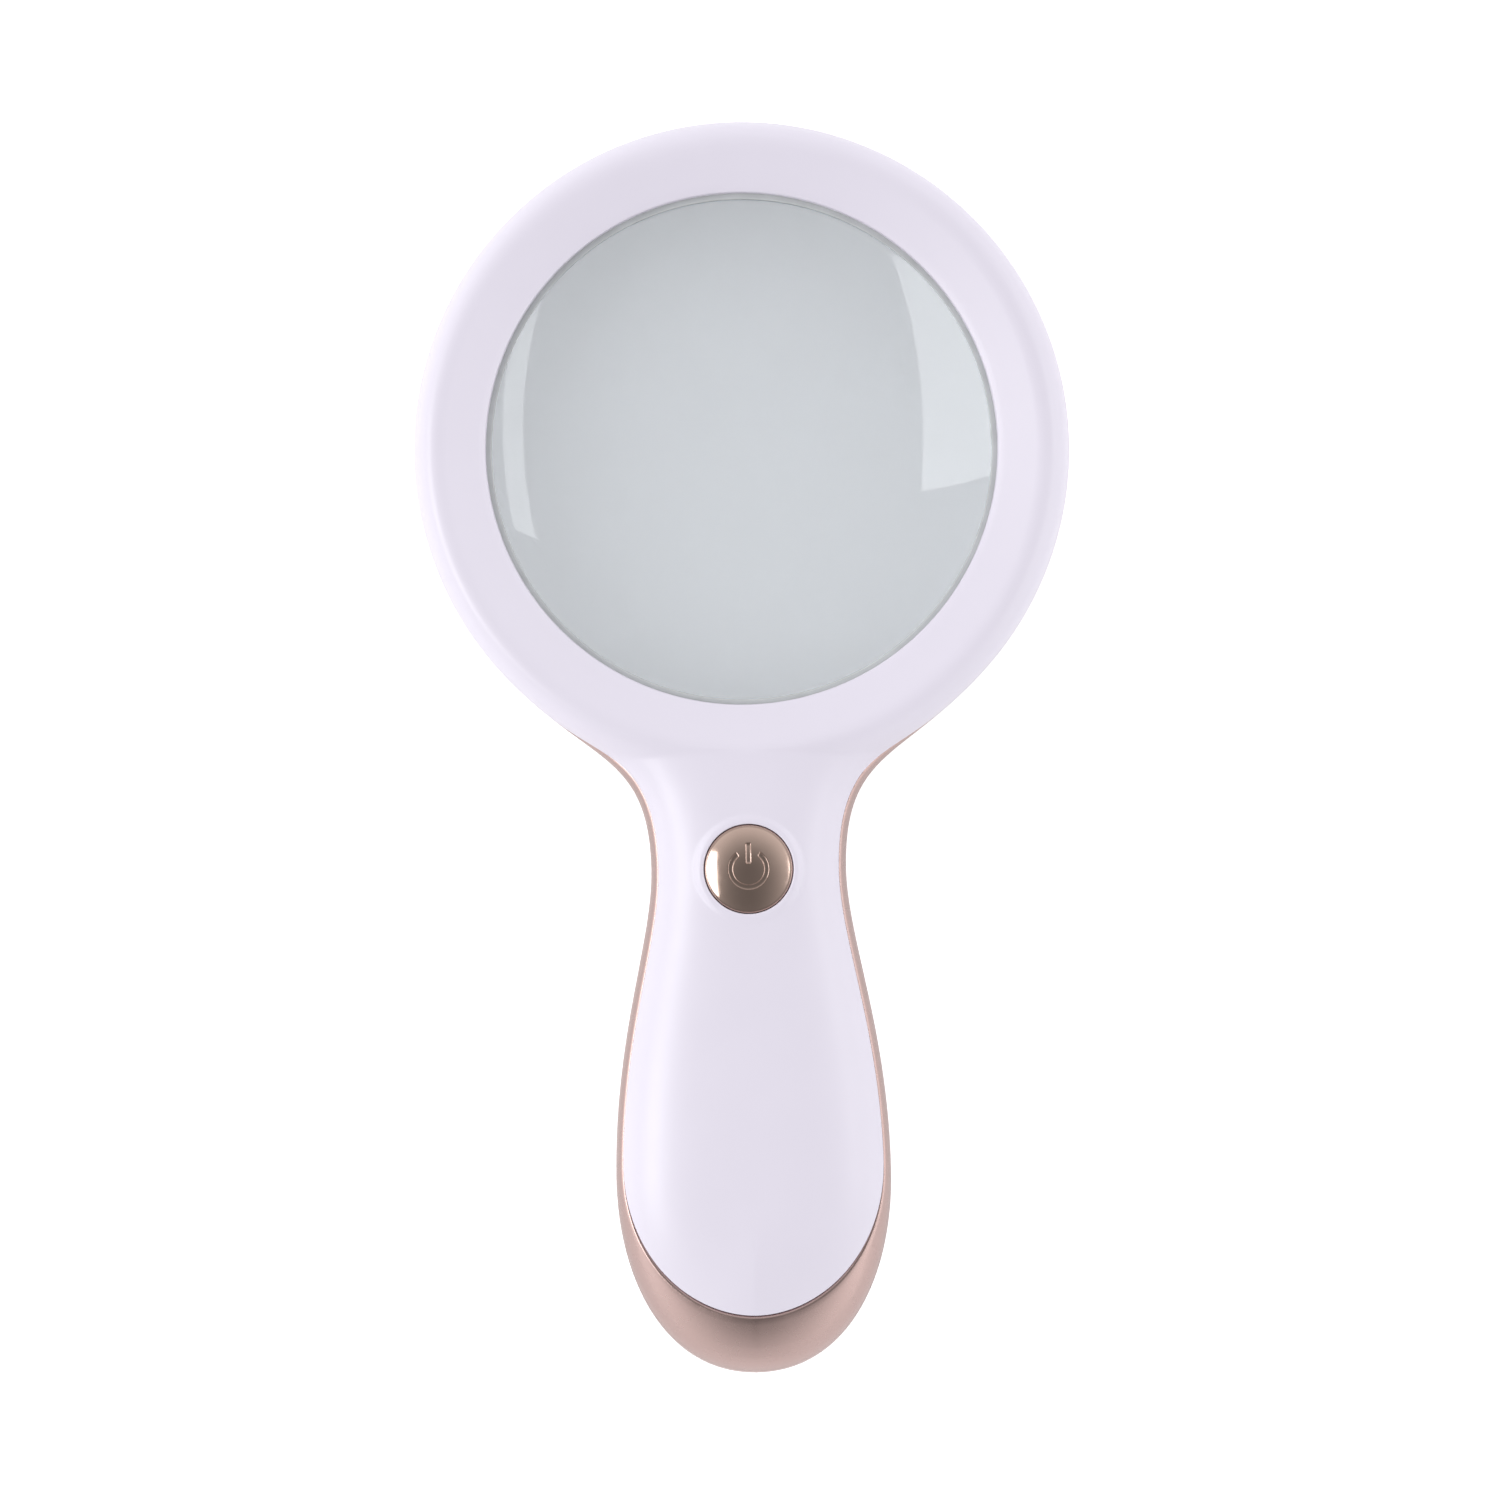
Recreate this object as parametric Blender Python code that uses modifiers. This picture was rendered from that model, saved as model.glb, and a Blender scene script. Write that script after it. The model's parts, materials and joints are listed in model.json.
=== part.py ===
"""Hand-held illuminated magnifier: a round lens head with an LED ring, on a flattened battery handle.

It lies on its back: +Z is the front face, +Y the top of the head, X across.  Metres.
The outer form is drawn as a right half.  Every station runs from the widest outline inwards, and its
height follows a quarter of a superellipse, so both shells come from one set of stations.
"""

import math

import bpy
import bmesh
from mathutils import Vector
from mathutils.bvhtree import BVHTree

MM = 0.001
GAP = 0.3 * MM  # between faces of neighbouring pieces
MERGE = 0.00001

# Outline, seen from the front
HEAD_R = 54.4 * MM
HEAD_Y = 49.55 * MM
TIP_Y = -103.95 * MM
NECK_HALF, NECK_Y = 16.25 * MM, -20.0 * MM
BELLY_HALF, BELLY_Y = 22.9 * MM, -71.0 * MM
FILLET_ANGLE = math.radians(-42.7)  # where the neck's curve leaves the head's circle
FILLET_PULL = (19.7 * MM, 20.3 * MM)  # curve handles at the neck and at the head
SIDE_PULL = (23.9 * MM, 11.9 * MM)  # at the belly and at the neck
TIP_PULL = (14.8 * MM, 18.0 * MM)  # at the tip and at the belly

# Front surface
RIDGE_R = 49.6 * MM  # crest of the ring
HOLE_R = 42.2 * MM  # clear opening of the front shell
SEAM_Z = 11.5 * MM  # level of the widest outline
RIDGE_Z = 22.0 * MM
HOLE_Z = 19.8 * MM
LIP_Z = 17.8 * MM  # the opening's wall ends here
BELLY_RISE, BELLY_RISE_Y, BELLY_RISE_WIDTH = 0.9 * MM, -66.0 * MM, 26.0 * MM
CREST_END_Y = -82.0 * MM  # the centre line's crest ends here, and the tip falls away from it
FRONT_POWER, TIP_POWER = 3.0, 2.0  # the front's section, and what it eases to at the tip
REAR_POWER = 2.0
WALL = 2.0 * MM

# Parting line between the white front and the metal-coated rear
PLATE_HALF, PLATE_Y, PLATE_LENGTH = 21.6 * MM, -68.85 * MM, 24.5 * MM  # round end of the front plate
PLATE_STEPS = 400
STRIP = 1.25 * MM  # rear shell seen outside the front plate along the neck
STRIP_START_Y, STRIP_FULL_Y = 6.0 * MM, -8.0 * MM
PARTING_ANGLE = 0.016  # half of the parting gap, as an angle of the section
EDGE_ANGLE = 0.03  # a narrow first row keeps both edges of the parting line parallel

# Rear surface
REAR_HOLE_R = 51.1 * MM
RING_ROUND = 0.74  # share of the ring's rear lip that rounds over
HANDLE_ROUND = 0.30  # share of the half width that the back rounds over
DOOR_HALF, DOOR_TOP_Y, DOOR_Z = 12.8 * MM, -38.0 * MM, 6.0 * MM
GRIP_COUNT, GRIP_TOP_Y, GRIP_STEP = 5, -44.0 * MM, 1.8 * MM
GRIP_HALF, GRIP_WIDTH, GRIP_DEPTH = 5.0 * MM, 0.7 * MM, 0.35 * MM
CUT_PAST = 5.0 * MM  # how far cutters run past the surfaces they open

# Lens and its seat
LENS_R = 44.5 * MM
LENS_RIM_Z = (13.5 * MM, 16.0 * MM)
LENS_RISE = 4.7 * MM
SEAT_R, GASKET_R = 41.3 * MM, 44.0 * MM
RETAINER_R, RETAINER_Z = (42.5 * MM, 49.5 * MM), (11.4 * MM, 12.6 * MM)

# Light ring and LEDs
SLEEVE_R = (41.3 * MM, 42.1 * MM)
WINDOW_R = 50.8 * MM
WINDOW_Z = (0.3 * MM, 1.5 * MM)
SLEEVE_TOP_Z = 12.4 * MM
BOARD_R = (43.2 * MM, 50.6 * MM)
BOARD_Z = (4.2 * MM, 5.4 * MM)
LED_COUNT, LED_CIRCLE_R = 12, 46.9 * MM
LED_SIZE = Vector((3.5, 2.8, 0.8)) * MM

# Power button and switch
BUTTON_Y = -19.7 * MM
BUTTON_R = 7.2 * MM
BUTTON_HOLE_R = 7.5 * MM
BUTTON_HOLE_Z = (14.0 * MM, 26.0 * MM)  # reach of the cutter
COLLAR_TOP_R, COLLAR_R = 8.2 * MM, 9.3 * MM  # the raised rim round the button, at its top and its foot
COLLAR_Z, COLLAR_FOOT_Z = 22.05 * MM, 19.6 * MM
BUTTON_TOP_Z = 22.9 * MM
BUTTON_DOME_R = 20.2 * MM
BUTTON_ROUND = 0.3 * MM
BUTTON_UNDER_Z = 19.6 * MM
FLANGE_R, FLANGE_Z = (6.2 * MM, 8.0 * MM), (16.8 * MM, 17.6 * MM)
SYMBOL_R = 2.9 * MM
SYMBOL_LINE = 0.75 * MM
SYMBOL_DEPTH = 0.25 * MM
SYMBOL_GAP = math.radians(38)
SYMBOL_BAR_Y = (0.9 * MM, 4.1 * MM)  # from the button's centre
STEM_R, STEM_FOOT_Z = 1.9 * MM, 12.8 * MM
STEM_BORE_Z = (11.0 * MM, 18.0 * MM)  # reach of the cutter
HOUSING_HALF, HOUSING_Z = 4.3 * MM, (10.1 * MM, 15.0 * MM)
SWITCH_SPRING_R, SWITCH_SPRING_WIRE, SWITCH_SPRING_TURNS = 3.4 * MM, 0.3 * MM, 3.5
SWITCH_BOARD_HALF = (9.0 * MM, 8.0 * MM)
SWITCH_BOARD_Y, SWITCH_BOARD_FOOT_Z = -21.0 * MM, 8.6 * MM

# Screws, as places on the right half
SCREW_PLACES = ((11.0 * MM, -8.0 * MM), (16.3 * MM, -62.0 * MM))
BOSS_JOIN_Z = 7.2 * MM
FRONT_BOSS_R, REAR_BOSS_R = 2.6 * MM, 3.1 * MM
SCREW_R, HEAD_BORE_R, HEAD_SEAT_Z = 1.15 * MM, 2.6 * MM, 4.1 * MM
FRONT_DRILL_Z = (5.0 * MM, 14.0 * MM)
REAR_DRILL_Z = (-5.0 * MM, 9.0 * MM)
SCREW_TIP_R, SCREW_TIP_Z, SCREW_TAPER_Z = 0.7 * MM, 13.0 * MM, 12.2 * MM
SCREW_HEAD_R, SCREW_HEAD_Z = (1.6 * MM, 2.3 * MM), (1.9 * MM, 2.4 * MM, 3.8 * MM)
SCREW_SLOT = Vector((1.3, 0.28, 1.0)) * MM  # half length, half width and half height of the cutter
SCREW_SLOT_Z = 1.7 * MM

# Cells: AAA
CELL_R, CELL_LENGTH = 5.25 * MM, 44.4 * MM
CELL_NUB_R, CELL_NUB, CELL_EDGE = 1.9 * MM, 0.9 * MM, 0.4 * MM
CELL_X, CELL_Z = 5.5 * MM, 8.05 * MM
CONTACT_HALF = 4.0 * MM
BATTERY_SPRING_R, BATTERY_SPRING_WIRE, BATTERY_SPRING_TURNS = 2.6 * MM, 0.35 * MM, 2.5
TRAY_HALF, TRAY_Y, TRAY_Z = 12.0 * MM, (-91.2 * MM, -39.4 * MM), (2.8 * MM, 15.2 * MM)
TRAY_WALL = 0.9 * MM
PLATE_THICK = 0.4 * MM

# Wires, as (y, z) in millimetres
WIRE_R = 0.5 * MM
LED_WIRE_X, BATTERY_WIRE_X = 3.0 * MM, 6.5 * MM
LED_ROUTE = ((-14.0, 10.6), (-11.0, 10.9), (-8.0, 10.3), (-5.0, 8.7), (-2.0, 6.9), (1.0, 6.3), (4.0, 6.25))
CELL_ROUTE = ((-38.9, 10.0), (-36.5, 10.0), (-34.0, 10.4), (-31.0, 10.9), (-28.0, 10.9), (-26.0, 10.45))

ROUND_STEPS = 48
LED_BEVEL, HOUSING_BEVEL, TRAY_BEVEL = 0.15 * MM, 0.3 * MM, 0.4 * MM


# --- scene, materials and objects ---------------------------------------------------------------

for old in list(bpy.data.objects):
    bpy.data.objects.remove(old, do_unlink=True)

PARTS = bpy.data.collections.new("low_vision_magnifier")
CUTTERS = bpy.data.collections.new("cutters")
for group in (PARTS, CUTTERS):
    bpy.context.scene.collection.children.link(group)
CUTTERS.hide_render = True


def material(name, colour, roughness, metallic=0.0, transmission=0.0):
    made = bpy.data.materials.new(name)
    made.use_nodes = True
    shader = made.node_tree.nodes["Principled BSDF"]
    shader.inputs["Base Color"].default_value = (*colour, 1.0)
    shader.inputs["Roughness"].default_value = roughness
    shader.inputs["Metallic"].default_value = metallic
    shader.inputs["Transmission Weight"].default_value = transmission
    return made


WHITE = material("satin_white", (0.80, 0.77, 0.84), 0.30)
ROSE = material("rose_gold_coating", (0.72, 0.50, 0.46), 0.22, 1.0)
GLASS = material("lens_glass", (0.80, 0.85, 0.88), 0.02, 0.0, 1.0)
GREY_SOFT = material("grey_gasket", (0.35, 0.36, 0.36), 0.6)
FROSTED = material("frosted_window", (0.85, 0.86, 0.88), 0.45, 0.0, 0.5)
BOARD_GREEN = material("board_green", (0.03, 0.20, 0.10), 0.4)
LED_YELLOW = material("led_phosphor", (0.95, 0.80, 0.30), 0.35)
BLACK = material("switch_black", (0.03, 0.03, 0.03), 0.4)
STEEL = material("plated_steel", (0.70, 0.70, 0.70), 0.25, 1.0)
TRAY_WHITE = material("tray_white", (0.72, 0.72, 0.72), 0.5)
CELL_SLEEVE = material("cell_sleeve", (0.10, 0.22, 0.35), 0.35)
WIRE_RED = material("wire_red", (0.60, 0.03, 0.03), 0.45)
WIRE_BLACK = material("wire_black", (0.02, 0.02, 0.02), 0.45)


def new_object(name, mesh, look=None, smooth_deg=35):
    """A node where a look is given, else a cutter or a guide."""
    made = bpy.data.objects.new(name, mesh)
    if look is None:
        CUTTERS.objects.link(made)
        made.hide_render = True
        made.display_type = "WIRE"
        return made
    PARTS.objects.link(made)
    mesh.materials.append(look)
    mesh.shade_smooth()
    mesh.set_sharp_from_angle(angle=math.radians(smooth_deg))
    return made


def mesh_of(name, shape):
    mesh = bpy.data.meshes.new(name)
    shape.to_mesh(mesh)
    shape.free()
    return mesh


def box(name, low, high, look=None, bevel=0.0, segments=2):
    low, high = Vector(low), Vector(high)
    shape = bmesh.new()
    bmesh.ops.create_cube(shape, size=1.0)
    bmesh.ops.scale(shape, vec=high - low, verts=shape.verts)
    made = new_object(name, mesh_of(name, shape), look)
    made.location = (low + high) / 2
    if bevel:
        rounding = made.modifiers.new("edges", "BEVEL")
        rounding.width = bevel
        rounding.segments = segments
        rounding.limit_method = "ANGLE"
    return made


def cylinder(name, radius, low_z, high_z, place=(0.0, 0.0), look=None, sides=24):
    shape = bmesh.new()
    bmesh.ops.create_cone(
        shape, cap_ends=True, segments=sides, radius1=radius, radius2=radius, depth=high_z - low_z
    )
    made = new_object(name, mesh_of(name, shape), look)
    made.location = (*place, (low_z + high_z) / 2)
    return made


def turned(name, profile, look=None, place=(0.0, 0.0), steps=ROUND_STEPS, closed=True):
    """A profile of (radius, height) at +X, down its outer side, turned about the vertical axis."""
    shape = bmesh.new()
    corners = [shape.verts.new((radius, 0.0, height)) for radius, height in profile]
    for first, second in zip(corners, corners[1:]):
        shape.edges.new((first, second))
    if closed:
        shape.edges.new((corners[-1], corners[0]))
    made = new_object(name, mesh_of(name, shape), look)
    made.location = (*place, 0.0)
    screw = made.modifiers.new("turn", "SCREW")
    screw.steps = screw.render_steps = steps
    screw.use_merge_vertices = True
    screw.merge_threshold = MERGE
    screw.use_smooth_shade = True
    return made


def tube(name, points, radius, look, resolution=2):
    curve = bpy.data.curves.new(name, "CURVE")
    curve.dimensions = "3D"
    curve.bevel_depth = radius
    curve.bevel_resolution = resolution
    curve.use_fill_caps = True
    spline = curve.splines.new("POLY")
    spline.points.add(len(points) - 1)
    for target, point in zip(spline.points, points):
        target.co = (*point, 1.0)
    made = bpy.data.objects.new(name, curve)
    PARTS.objects.link(made)
    curve.materials.append(look)
    return made


def combine(piece, other, operation):
    joined = piece.modifiers.new(operation.lower() + "_" + other.name[:20], "BOOLEAN")
    joined.operation = operation
    joined.object = other


# --- outline and stations -----------------------------------------------------------------------


def bezier(start, pull_1, pull_2, end, count):
    """The points after start on a cubic curve."""
    points = []
    for step in range(1, count + 1):
        t = step / count
        points.append(
            start * (1 - t) ** 3 + pull_1 * 3 * t * (1 - t) ** 2 + pull_2 * 3 * t * t * (1 - t) + end * t**3
        )
    return points


def on_head(radius, angle):
    return Vector((radius * math.cos(angle), HEAD_Y + radius * math.sin(angle)))


def between(first, last, count):
    """The values after first, evenly spaced up to last."""
    return [first + (last - first) * step / count for step in range(1, count + 1)]


def snapped(point):
    return Vector((0.0 if abs(point.x) < MERGE else point.x, point.y))


def outline(counts):
    tip_n, side_n, fillet_n, lower_n, upper_n = counts
    tip, belly = Vector((0, TIP_Y)), Vector((BELLY_HALF, BELLY_Y))
    neck, shoulder = Vector((NECK_HALF, NECK_Y)), on_head(HEAD_R, FILLET_ANGLE)
    tangent = Vector((-math.sin(FILLET_ANGLE), math.cos(FILLET_ANGLE)))
    up, right = Vector((0, 1)), Vector((1, 0))
    points = [tip]
    points += bezier(tip, tip + right * TIP_PULL[0], belly - up * TIP_PULL[1], belly, tip_n)
    points += bezier(belly, belly + up * SIDE_PULL[0], neck - up * SIDE_PULL[1], neck, side_n)
    from_neck, to_shoulder = neck + up * FILLET_PULL[0], shoulder - tangent * FILLET_PULL[1]
    points += bezier(neck, from_neck, to_shoulder, shoulder, fillet_n)
    points += [on_head(HEAD_R, angle) for angle in between(FILLET_ANGLE, 0, lower_n)]
    points += [on_head(HEAD_R, angle) for angle in between(0, math.pi / 2, upper_n)]
    return [snapped(point) for point in points]


def inner_line(counts, radius):
    """From the crest's end up the centre line, then round the head at the given radius."""
    tip_n, side_n, fillet_n, lower_n, upper_n = counts
    half = fillet_n // 2
    centre = [CREST_END_Y] + between(CREST_END_Y, BELLY_RISE_Y, tip_n)
    centre += between(BELLY_RISE_Y, NECK_Y, side_n)
    centre += between(NECK_Y, HEAD_Y - radius, half)
    shoulder = FILLET_ANGLE - math.radians(6)
    angles = between(-math.pi / 2, shoulder, fillet_n - half)
    angles += between(shoulder, 0, lower_n) + between(0, math.pi / 2, upper_n)
    return [Vector((0, y)) for y in centre] + [snapped(on_head(radius, angle)) for angle in angles]


def smooth_step(value):
    value = min(max(value, 0.0), 1.0)
    return value * value * (3 - 2 * value)


def parting_point(index, points):
    """Where the front plate's edge lies on this station, in plan."""
    here = points[index]
    if index == 0 or here.y < PLATE_Y:
        turns = [math.pi / 2 * step / PLATE_STEPS for step in range(PLATE_STEPS + 1)]
        edge = [Vector((PLATE_HALF * math.sin(a), PLATE_Y - PLATE_LENGTH * math.cos(a))) for a in turns]
        return min(edge, key=lambda point: (point - here).length)
    if here.y >= STRIP_START_Y:
        return here.copy()
    along = points[index + 1] - points[index - 1]
    inward = Vector((-along.y, along.x)).normalized()
    return here + inward * STRIP * smooth_step((STRIP_START_Y - here.y) / (STRIP_START_Y - STRIP_FULL_Y))


def crest_height(y):
    return RIDGE_Z + BELLY_RISE * math.exp(-(((y - BELLY_RISE_Y) / BELLY_RISE_WIDTH) ** 2))


def along_path(path, share):
    """The point at this share of a path's length."""
    lengths = [(b - a).length for a, b in zip(path, path[1:])]
    left = share * sum(lengths)
    for start, end, length in zip(path, path[1:], lengths):
        if left <= length and length > 0:
            return start.lerp(end, left / length)
        left -= length
    return path[-1].copy()


class Form:
    """The outer form on a given number of stations: position(i, angle) is a point of station i.

    An angle runs from -90 degrees, the back, through 0, the widest outline, to 90 degrees, the crest.
    """

    def __init__(self, counts):
        self.counts = counts
        self.outer = outline(counts)
        self.crest = inner_line(counts, RIDGE_R)
        self.back = inner_line(counts, REAR_HOLE_R)
        self.first_ring = counts[0] + counts[1] + counts[2] // 2
        self.parting = [parting_point(i, self.outer) for i in range(len(self.outer))]
        self.parting_angle = [self.angle_of_parting(i) for i in range(len(self.outer))]

    def front_path(self, index):
        return [self.outer[index], self.parting[index], self.crest[index]]

    def angle_of_parting(self, index):
        outer, parting, crest = self.front_path(index)
        share = (parting - outer).length / ((parting - outer).length + (crest - parting).length)
        return math.acos((1 - share) ** (self.power(index) / 2))

    def position(self, index, angle):
        if angle >= 0:
            share = 1 - math.cos(angle) ** (2 / self.power(index))
            place = along_path(self.front_path(index), share)
            rise = math.sin(angle) ** (2 / self.power(index))
            height = SEAM_Z + (crest_height(self.crest[index].y) - SEAM_Z) * rise
            if index >= self.first_ring:
                height = SEAM_Z + (RIDGE_Z - SEAM_Z) * rise
        else:
            share = (1 - math.cos(angle) ** (2 / REAR_POWER)) * self.rounding(index)
            place = self.outer[index].lerp(self.back[index], share)
            height = SEAM_Z * (1 - math.sin(-angle) ** (2 / REAR_POWER))
        return Vector((place.x, place.y, height))

    def power(self, index):
        """The front section's power here."""
        share = smooth_step((self.outer[index].y - TIP_Y) / (BELLY_Y - TIP_Y))
        return TIP_POWER + (FRONT_POWER - TIP_POWER) * share

    def rounding(self, index):
        """The share of the station that the back rounds over."""
        start = self.counts[0] + self.counts[1]
        ring = smooth_step((index - start) / (self.first_ring - start))
        return HANDLE_ROUND + (RING_ROUND - HANDLE_ROUND) * ring


def skin(name, grid, flip, look=None):
    """A surface over a grid of points, one row of it per station, or None where a row is absent."""
    shape = bmesh.new()
    made = {}

    def corner(point):
        key = tuple(round(value / MERGE) for value in point)
        if key not in made:
            made[key] = shape.verts.new(point)
        return made[key]

    for near, far in zip(grid, grid[1:]):
        for k in range(min(len(near), len(far)) - 1):
            points = [near[k], far[k], far[k + 1], near[k + 1]]
            corners = list(dict.fromkeys(corner(point) for point in points))
            if len(corners) > 2:
                shape.faces.new(reversed(corners) if flip else corners)
    return new_object(name, mesh_of(name, shape), look)


def as_shell(piece):
    """The half surface mirrored across X = 0 and given its wall."""
    mirror = piece.modifiers.new("halves", "MIRROR")
    mirror.merge_threshold = MERGE
    wall = piece.modifiers.new("wall", "SOLIDIFY")
    wall.thickness = WALL
    wall.offset = -1
    wall.use_even_offset = True


FORM = Form((8, 7, 8, 4, 9))
FRONT_ROWS = 4


def front_grid():
    rows = []
    for i in range(len(FORM.outer)):
        first = FORM.parting_angle[i] + PARTING_ANGLE
        angles = [first, first + EDGE_ANGLE] + between(first + EDGE_ANGLE, math.pi / 2, FRONT_ROWS)
        row = [FORM.position(i, angle) for angle in angles]
        if i >= FORM.first_ring:
            out = (FORM.crest[i] - Vector((0, HEAD_Y))).normalized()
            for height in (HOLE_Z, LIP_Z):
                place = snapped(Vector((0, HEAD_Y)) + out * HOLE_R)
                row.append(Vector((place.x, place.y, height)))
        rows.append(row)
    return rows


def rear_grid():
    rows = []
    for i in range(len(FORM.outer)):
        last = FORM.parting_angle[i] - PARTING_ANGLE
        inside = last - EDGE_ANGLE
        upper = [inside * 0.5, 0.0] if inside > 0 else [inside, inside]
        lower = [math.radians(-deg) for deg in (25, 50, 72, 90)]
        row = [FORM.position(i, angle) for angle in [last, inside] + upper + lower]
        row.append(Vector((FORM.back[i].x, FORM.back[i].y, 0.0)))
        rows.append(row)
    return rows


def height_under(surface, place):
    """The height of an evaluated surface straight above a place."""
    graph = bpy.context.evaluated_depsgraph_get()
    tree = BVHTree.FromObject(surface, graph)
    hit = tree.ray_cast(Vector((*place, 1.0)), Vector((0, 0, -1)))
    return hit[0].z


def both_sides(places):
    for number, (x, y) in enumerate(places):
        for side in (-1, 1):
            yield f"{number + 1}{'l' if side < 0 else 'r'}", (side * x, y)


# --- the two shells and the battery door ---------------------------------------------------------


def front_shell():
    shell = skin("front_shell", front_grid(), False, WHITE)
    as_shell(shell)
    bpy.context.view_layer.update()
    for tag, place in both_sides(SCREW_PLACES):
        outer_side = (place[0] + math.copysign(FRONT_BOSS_R, place[0]), place[1])
        top = height_under(shell, outer_side) - WALL / 4
        boss = cylinder("front_boss_" + tag, FRONT_BOSS_R, BOSS_JOIN_Z + GAP, top, place)
        drill = cylinder("front_drill_" + tag, SCREW_R + GAP, *FRONT_DRILL_Z, place, sides=16)
        combine(shell, boss, "UNION")
        combine(shell, drill, "DIFFERENCE")
    collar = turned(
        "button_collar",
        [
            (BUTTON_HOLE_R - MM, COLLAR_Z),
            (COLLAR_TOP_R, COLLAR_Z),
            (COLLAR_R, COLLAR_Z - MM),
            (COLLAR_R, COLLAR_FOOT_Z),
            (BUTTON_HOLE_R - MM, COLLAR_FOOT_Z),
        ],
        place=(0.0, BUTTON_Y),
        steps=40,
    )
    hole = cylinder("button_opening", BUTTON_HOLE_R, *BUTTON_HOLE_Z, (0.0, BUTTON_Y), sides=40)
    combine(shell, collar, "UNION")
    combine(shell, hole, "DIFFERENCE")
    return shell


def door_prism(name, margin):
    return box(
        name,
        (-DOOR_HALF - margin, TIP_Y - CUT_PAST, -CUT_PAST),
        (DOOR_HALF + margin, DOOR_TOP_Y + margin, DOOR_Z + margin),
    )


def rear_shell():
    shell = skin("rear_shell", rear_grid(), True, ROSE)
    as_shell(shell)
    combine(shell, door_prism("door_opening", GAP), "DIFFERENCE")
    for tag, place in both_sides(SCREW_PLACES):
        boss = cylinder("rear_boss_" + tag, REAR_BOSS_R, WALL / 2, BOSS_JOIN_Z, place)
        counterbore = cylinder("rear_counterbore_" + tag, HEAD_BORE_R, -CUT_PAST, HEAD_SEAT_Z, place)
        drill = cylinder("rear_drill_" + tag, SCREW_R + GAP, *REAR_DRILL_Z, place, sides=16)
        combine(shell, boss, "UNION")
        combine(shell, counterbore, "DIFFERENCE")
        combine(shell, drill, "DIFFERENCE")
    return shell


def battery_door():
    door = skin("battery_door", rear_grid(), True, ROSE)
    as_shell(door)
    combine(door, door_prism("door_limits", 0.0), "INTERSECT")
    for row in range(GRIP_COUNT):
        y = GRIP_TOP_Y - GRIP_STEP * row
        low, high = (-GRIP_HALF, y, -CUT_PAST), (GRIP_HALF, y + GRIP_WIDTH, GRIP_DEPTH)
        groove = box(f"door_grip_{row}", low, high)
        combine(door, groove, "DIFFERENCE")
    return door


# --- lens and light ring -------------------------------------------------------------------------


def lens_height(radius, side):
    """The height of the lens surface: side 1 is its front, -1 its back."""
    rim = LENS_RIM_Z[1] if side > 0 else LENS_RIM_Z[0]
    sphere = (LENS_R**2 + LENS_RISE**2) / (2 * LENS_RISE)
    return rim + side * (math.sqrt(sphere**2 - radius**2) - (sphere - LENS_RISE))


def lens_parts():
    rings = [LENS_R * share for share in (0.0, 0.2, 0.4, 0.6, 0.8, 1.0)]
    front = [(radius, lens_height(radius, 1)) for radius in rings]
    back = [(radius, lens_height(radius, -1)) for radius in reversed(rings)]
    place = (0.0, HEAD_Y)
    turned("lens", front + back, GLASS, place, closed=False)
    seat = [
        (SEAT_R, LIP_Z - GAP),
        (GASKET_R, LIP_Z - GAP),
        (GASKET_R, lens_height(GASKET_R, 1) + GAP),
        (SEAT_R, lens_height(SEAT_R, 1) + GAP),
    ]
    turned("lens_gasket", seat, GREY_SOFT, place)
    retainer = [
        (RETAINER_R[0], RETAINER_Z[1]),
        (RETAINER_R[1], RETAINER_Z[1]),
        (RETAINER_R[1], RETAINER_Z[0]),
        (RETAINER_R[0], RETAINER_Z[0]),
    ]
    turned("lens_retainer", retainer, WHITE, place)


def light_parts():
    place = (0.0, HEAD_Y)
    ring = [
        (SLEEVE_R[0], SLEEVE_TOP_Z),
        (SLEEVE_R[1], SLEEVE_TOP_Z),
        (SLEEVE_R[1], WINDOW_Z[1]),
        (WINDOW_R, WINDOW_Z[1]),
        (WINDOW_R, WINDOW_Z[0]),
        (SLEEVE_R[0], WINDOW_Z[0]),
    ]
    turned("light_ring", ring, FROSTED, place)
    board = [
        (BOARD_R[0], BOARD_Z[1]),
        (BOARD_R[1], BOARD_Z[1]),
        (BOARD_R[1], BOARD_Z[0]),
        (BOARD_R[0], BOARD_Z[0]),
    ]
    turned("led_board", board, BOARD_GREEN, place)
    for number in range(LED_COUNT):
        angle = 2 * math.pi * (number + 0.5) / LED_COUNT
        spot = on_head(LED_CIRCLE_R, angle)
        top = BOARD_Z[0] - GAP
        led = box(f"led_{number + 1:02d}", -LED_SIZE / 2, LED_SIZE / 2, LED_YELLOW, LED_BEVEL, 1)
        led.location = (spot.x, spot.y, top - LED_SIZE.z / 2)
        led.rotation_euler = (0, 0, angle)


# --- button and switch ---------------------------------------------------------------------------


def dome_height(radius):
    return BUTTON_TOP_Z - radius**2 / (2 * BUTTON_DOME_R)


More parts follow.
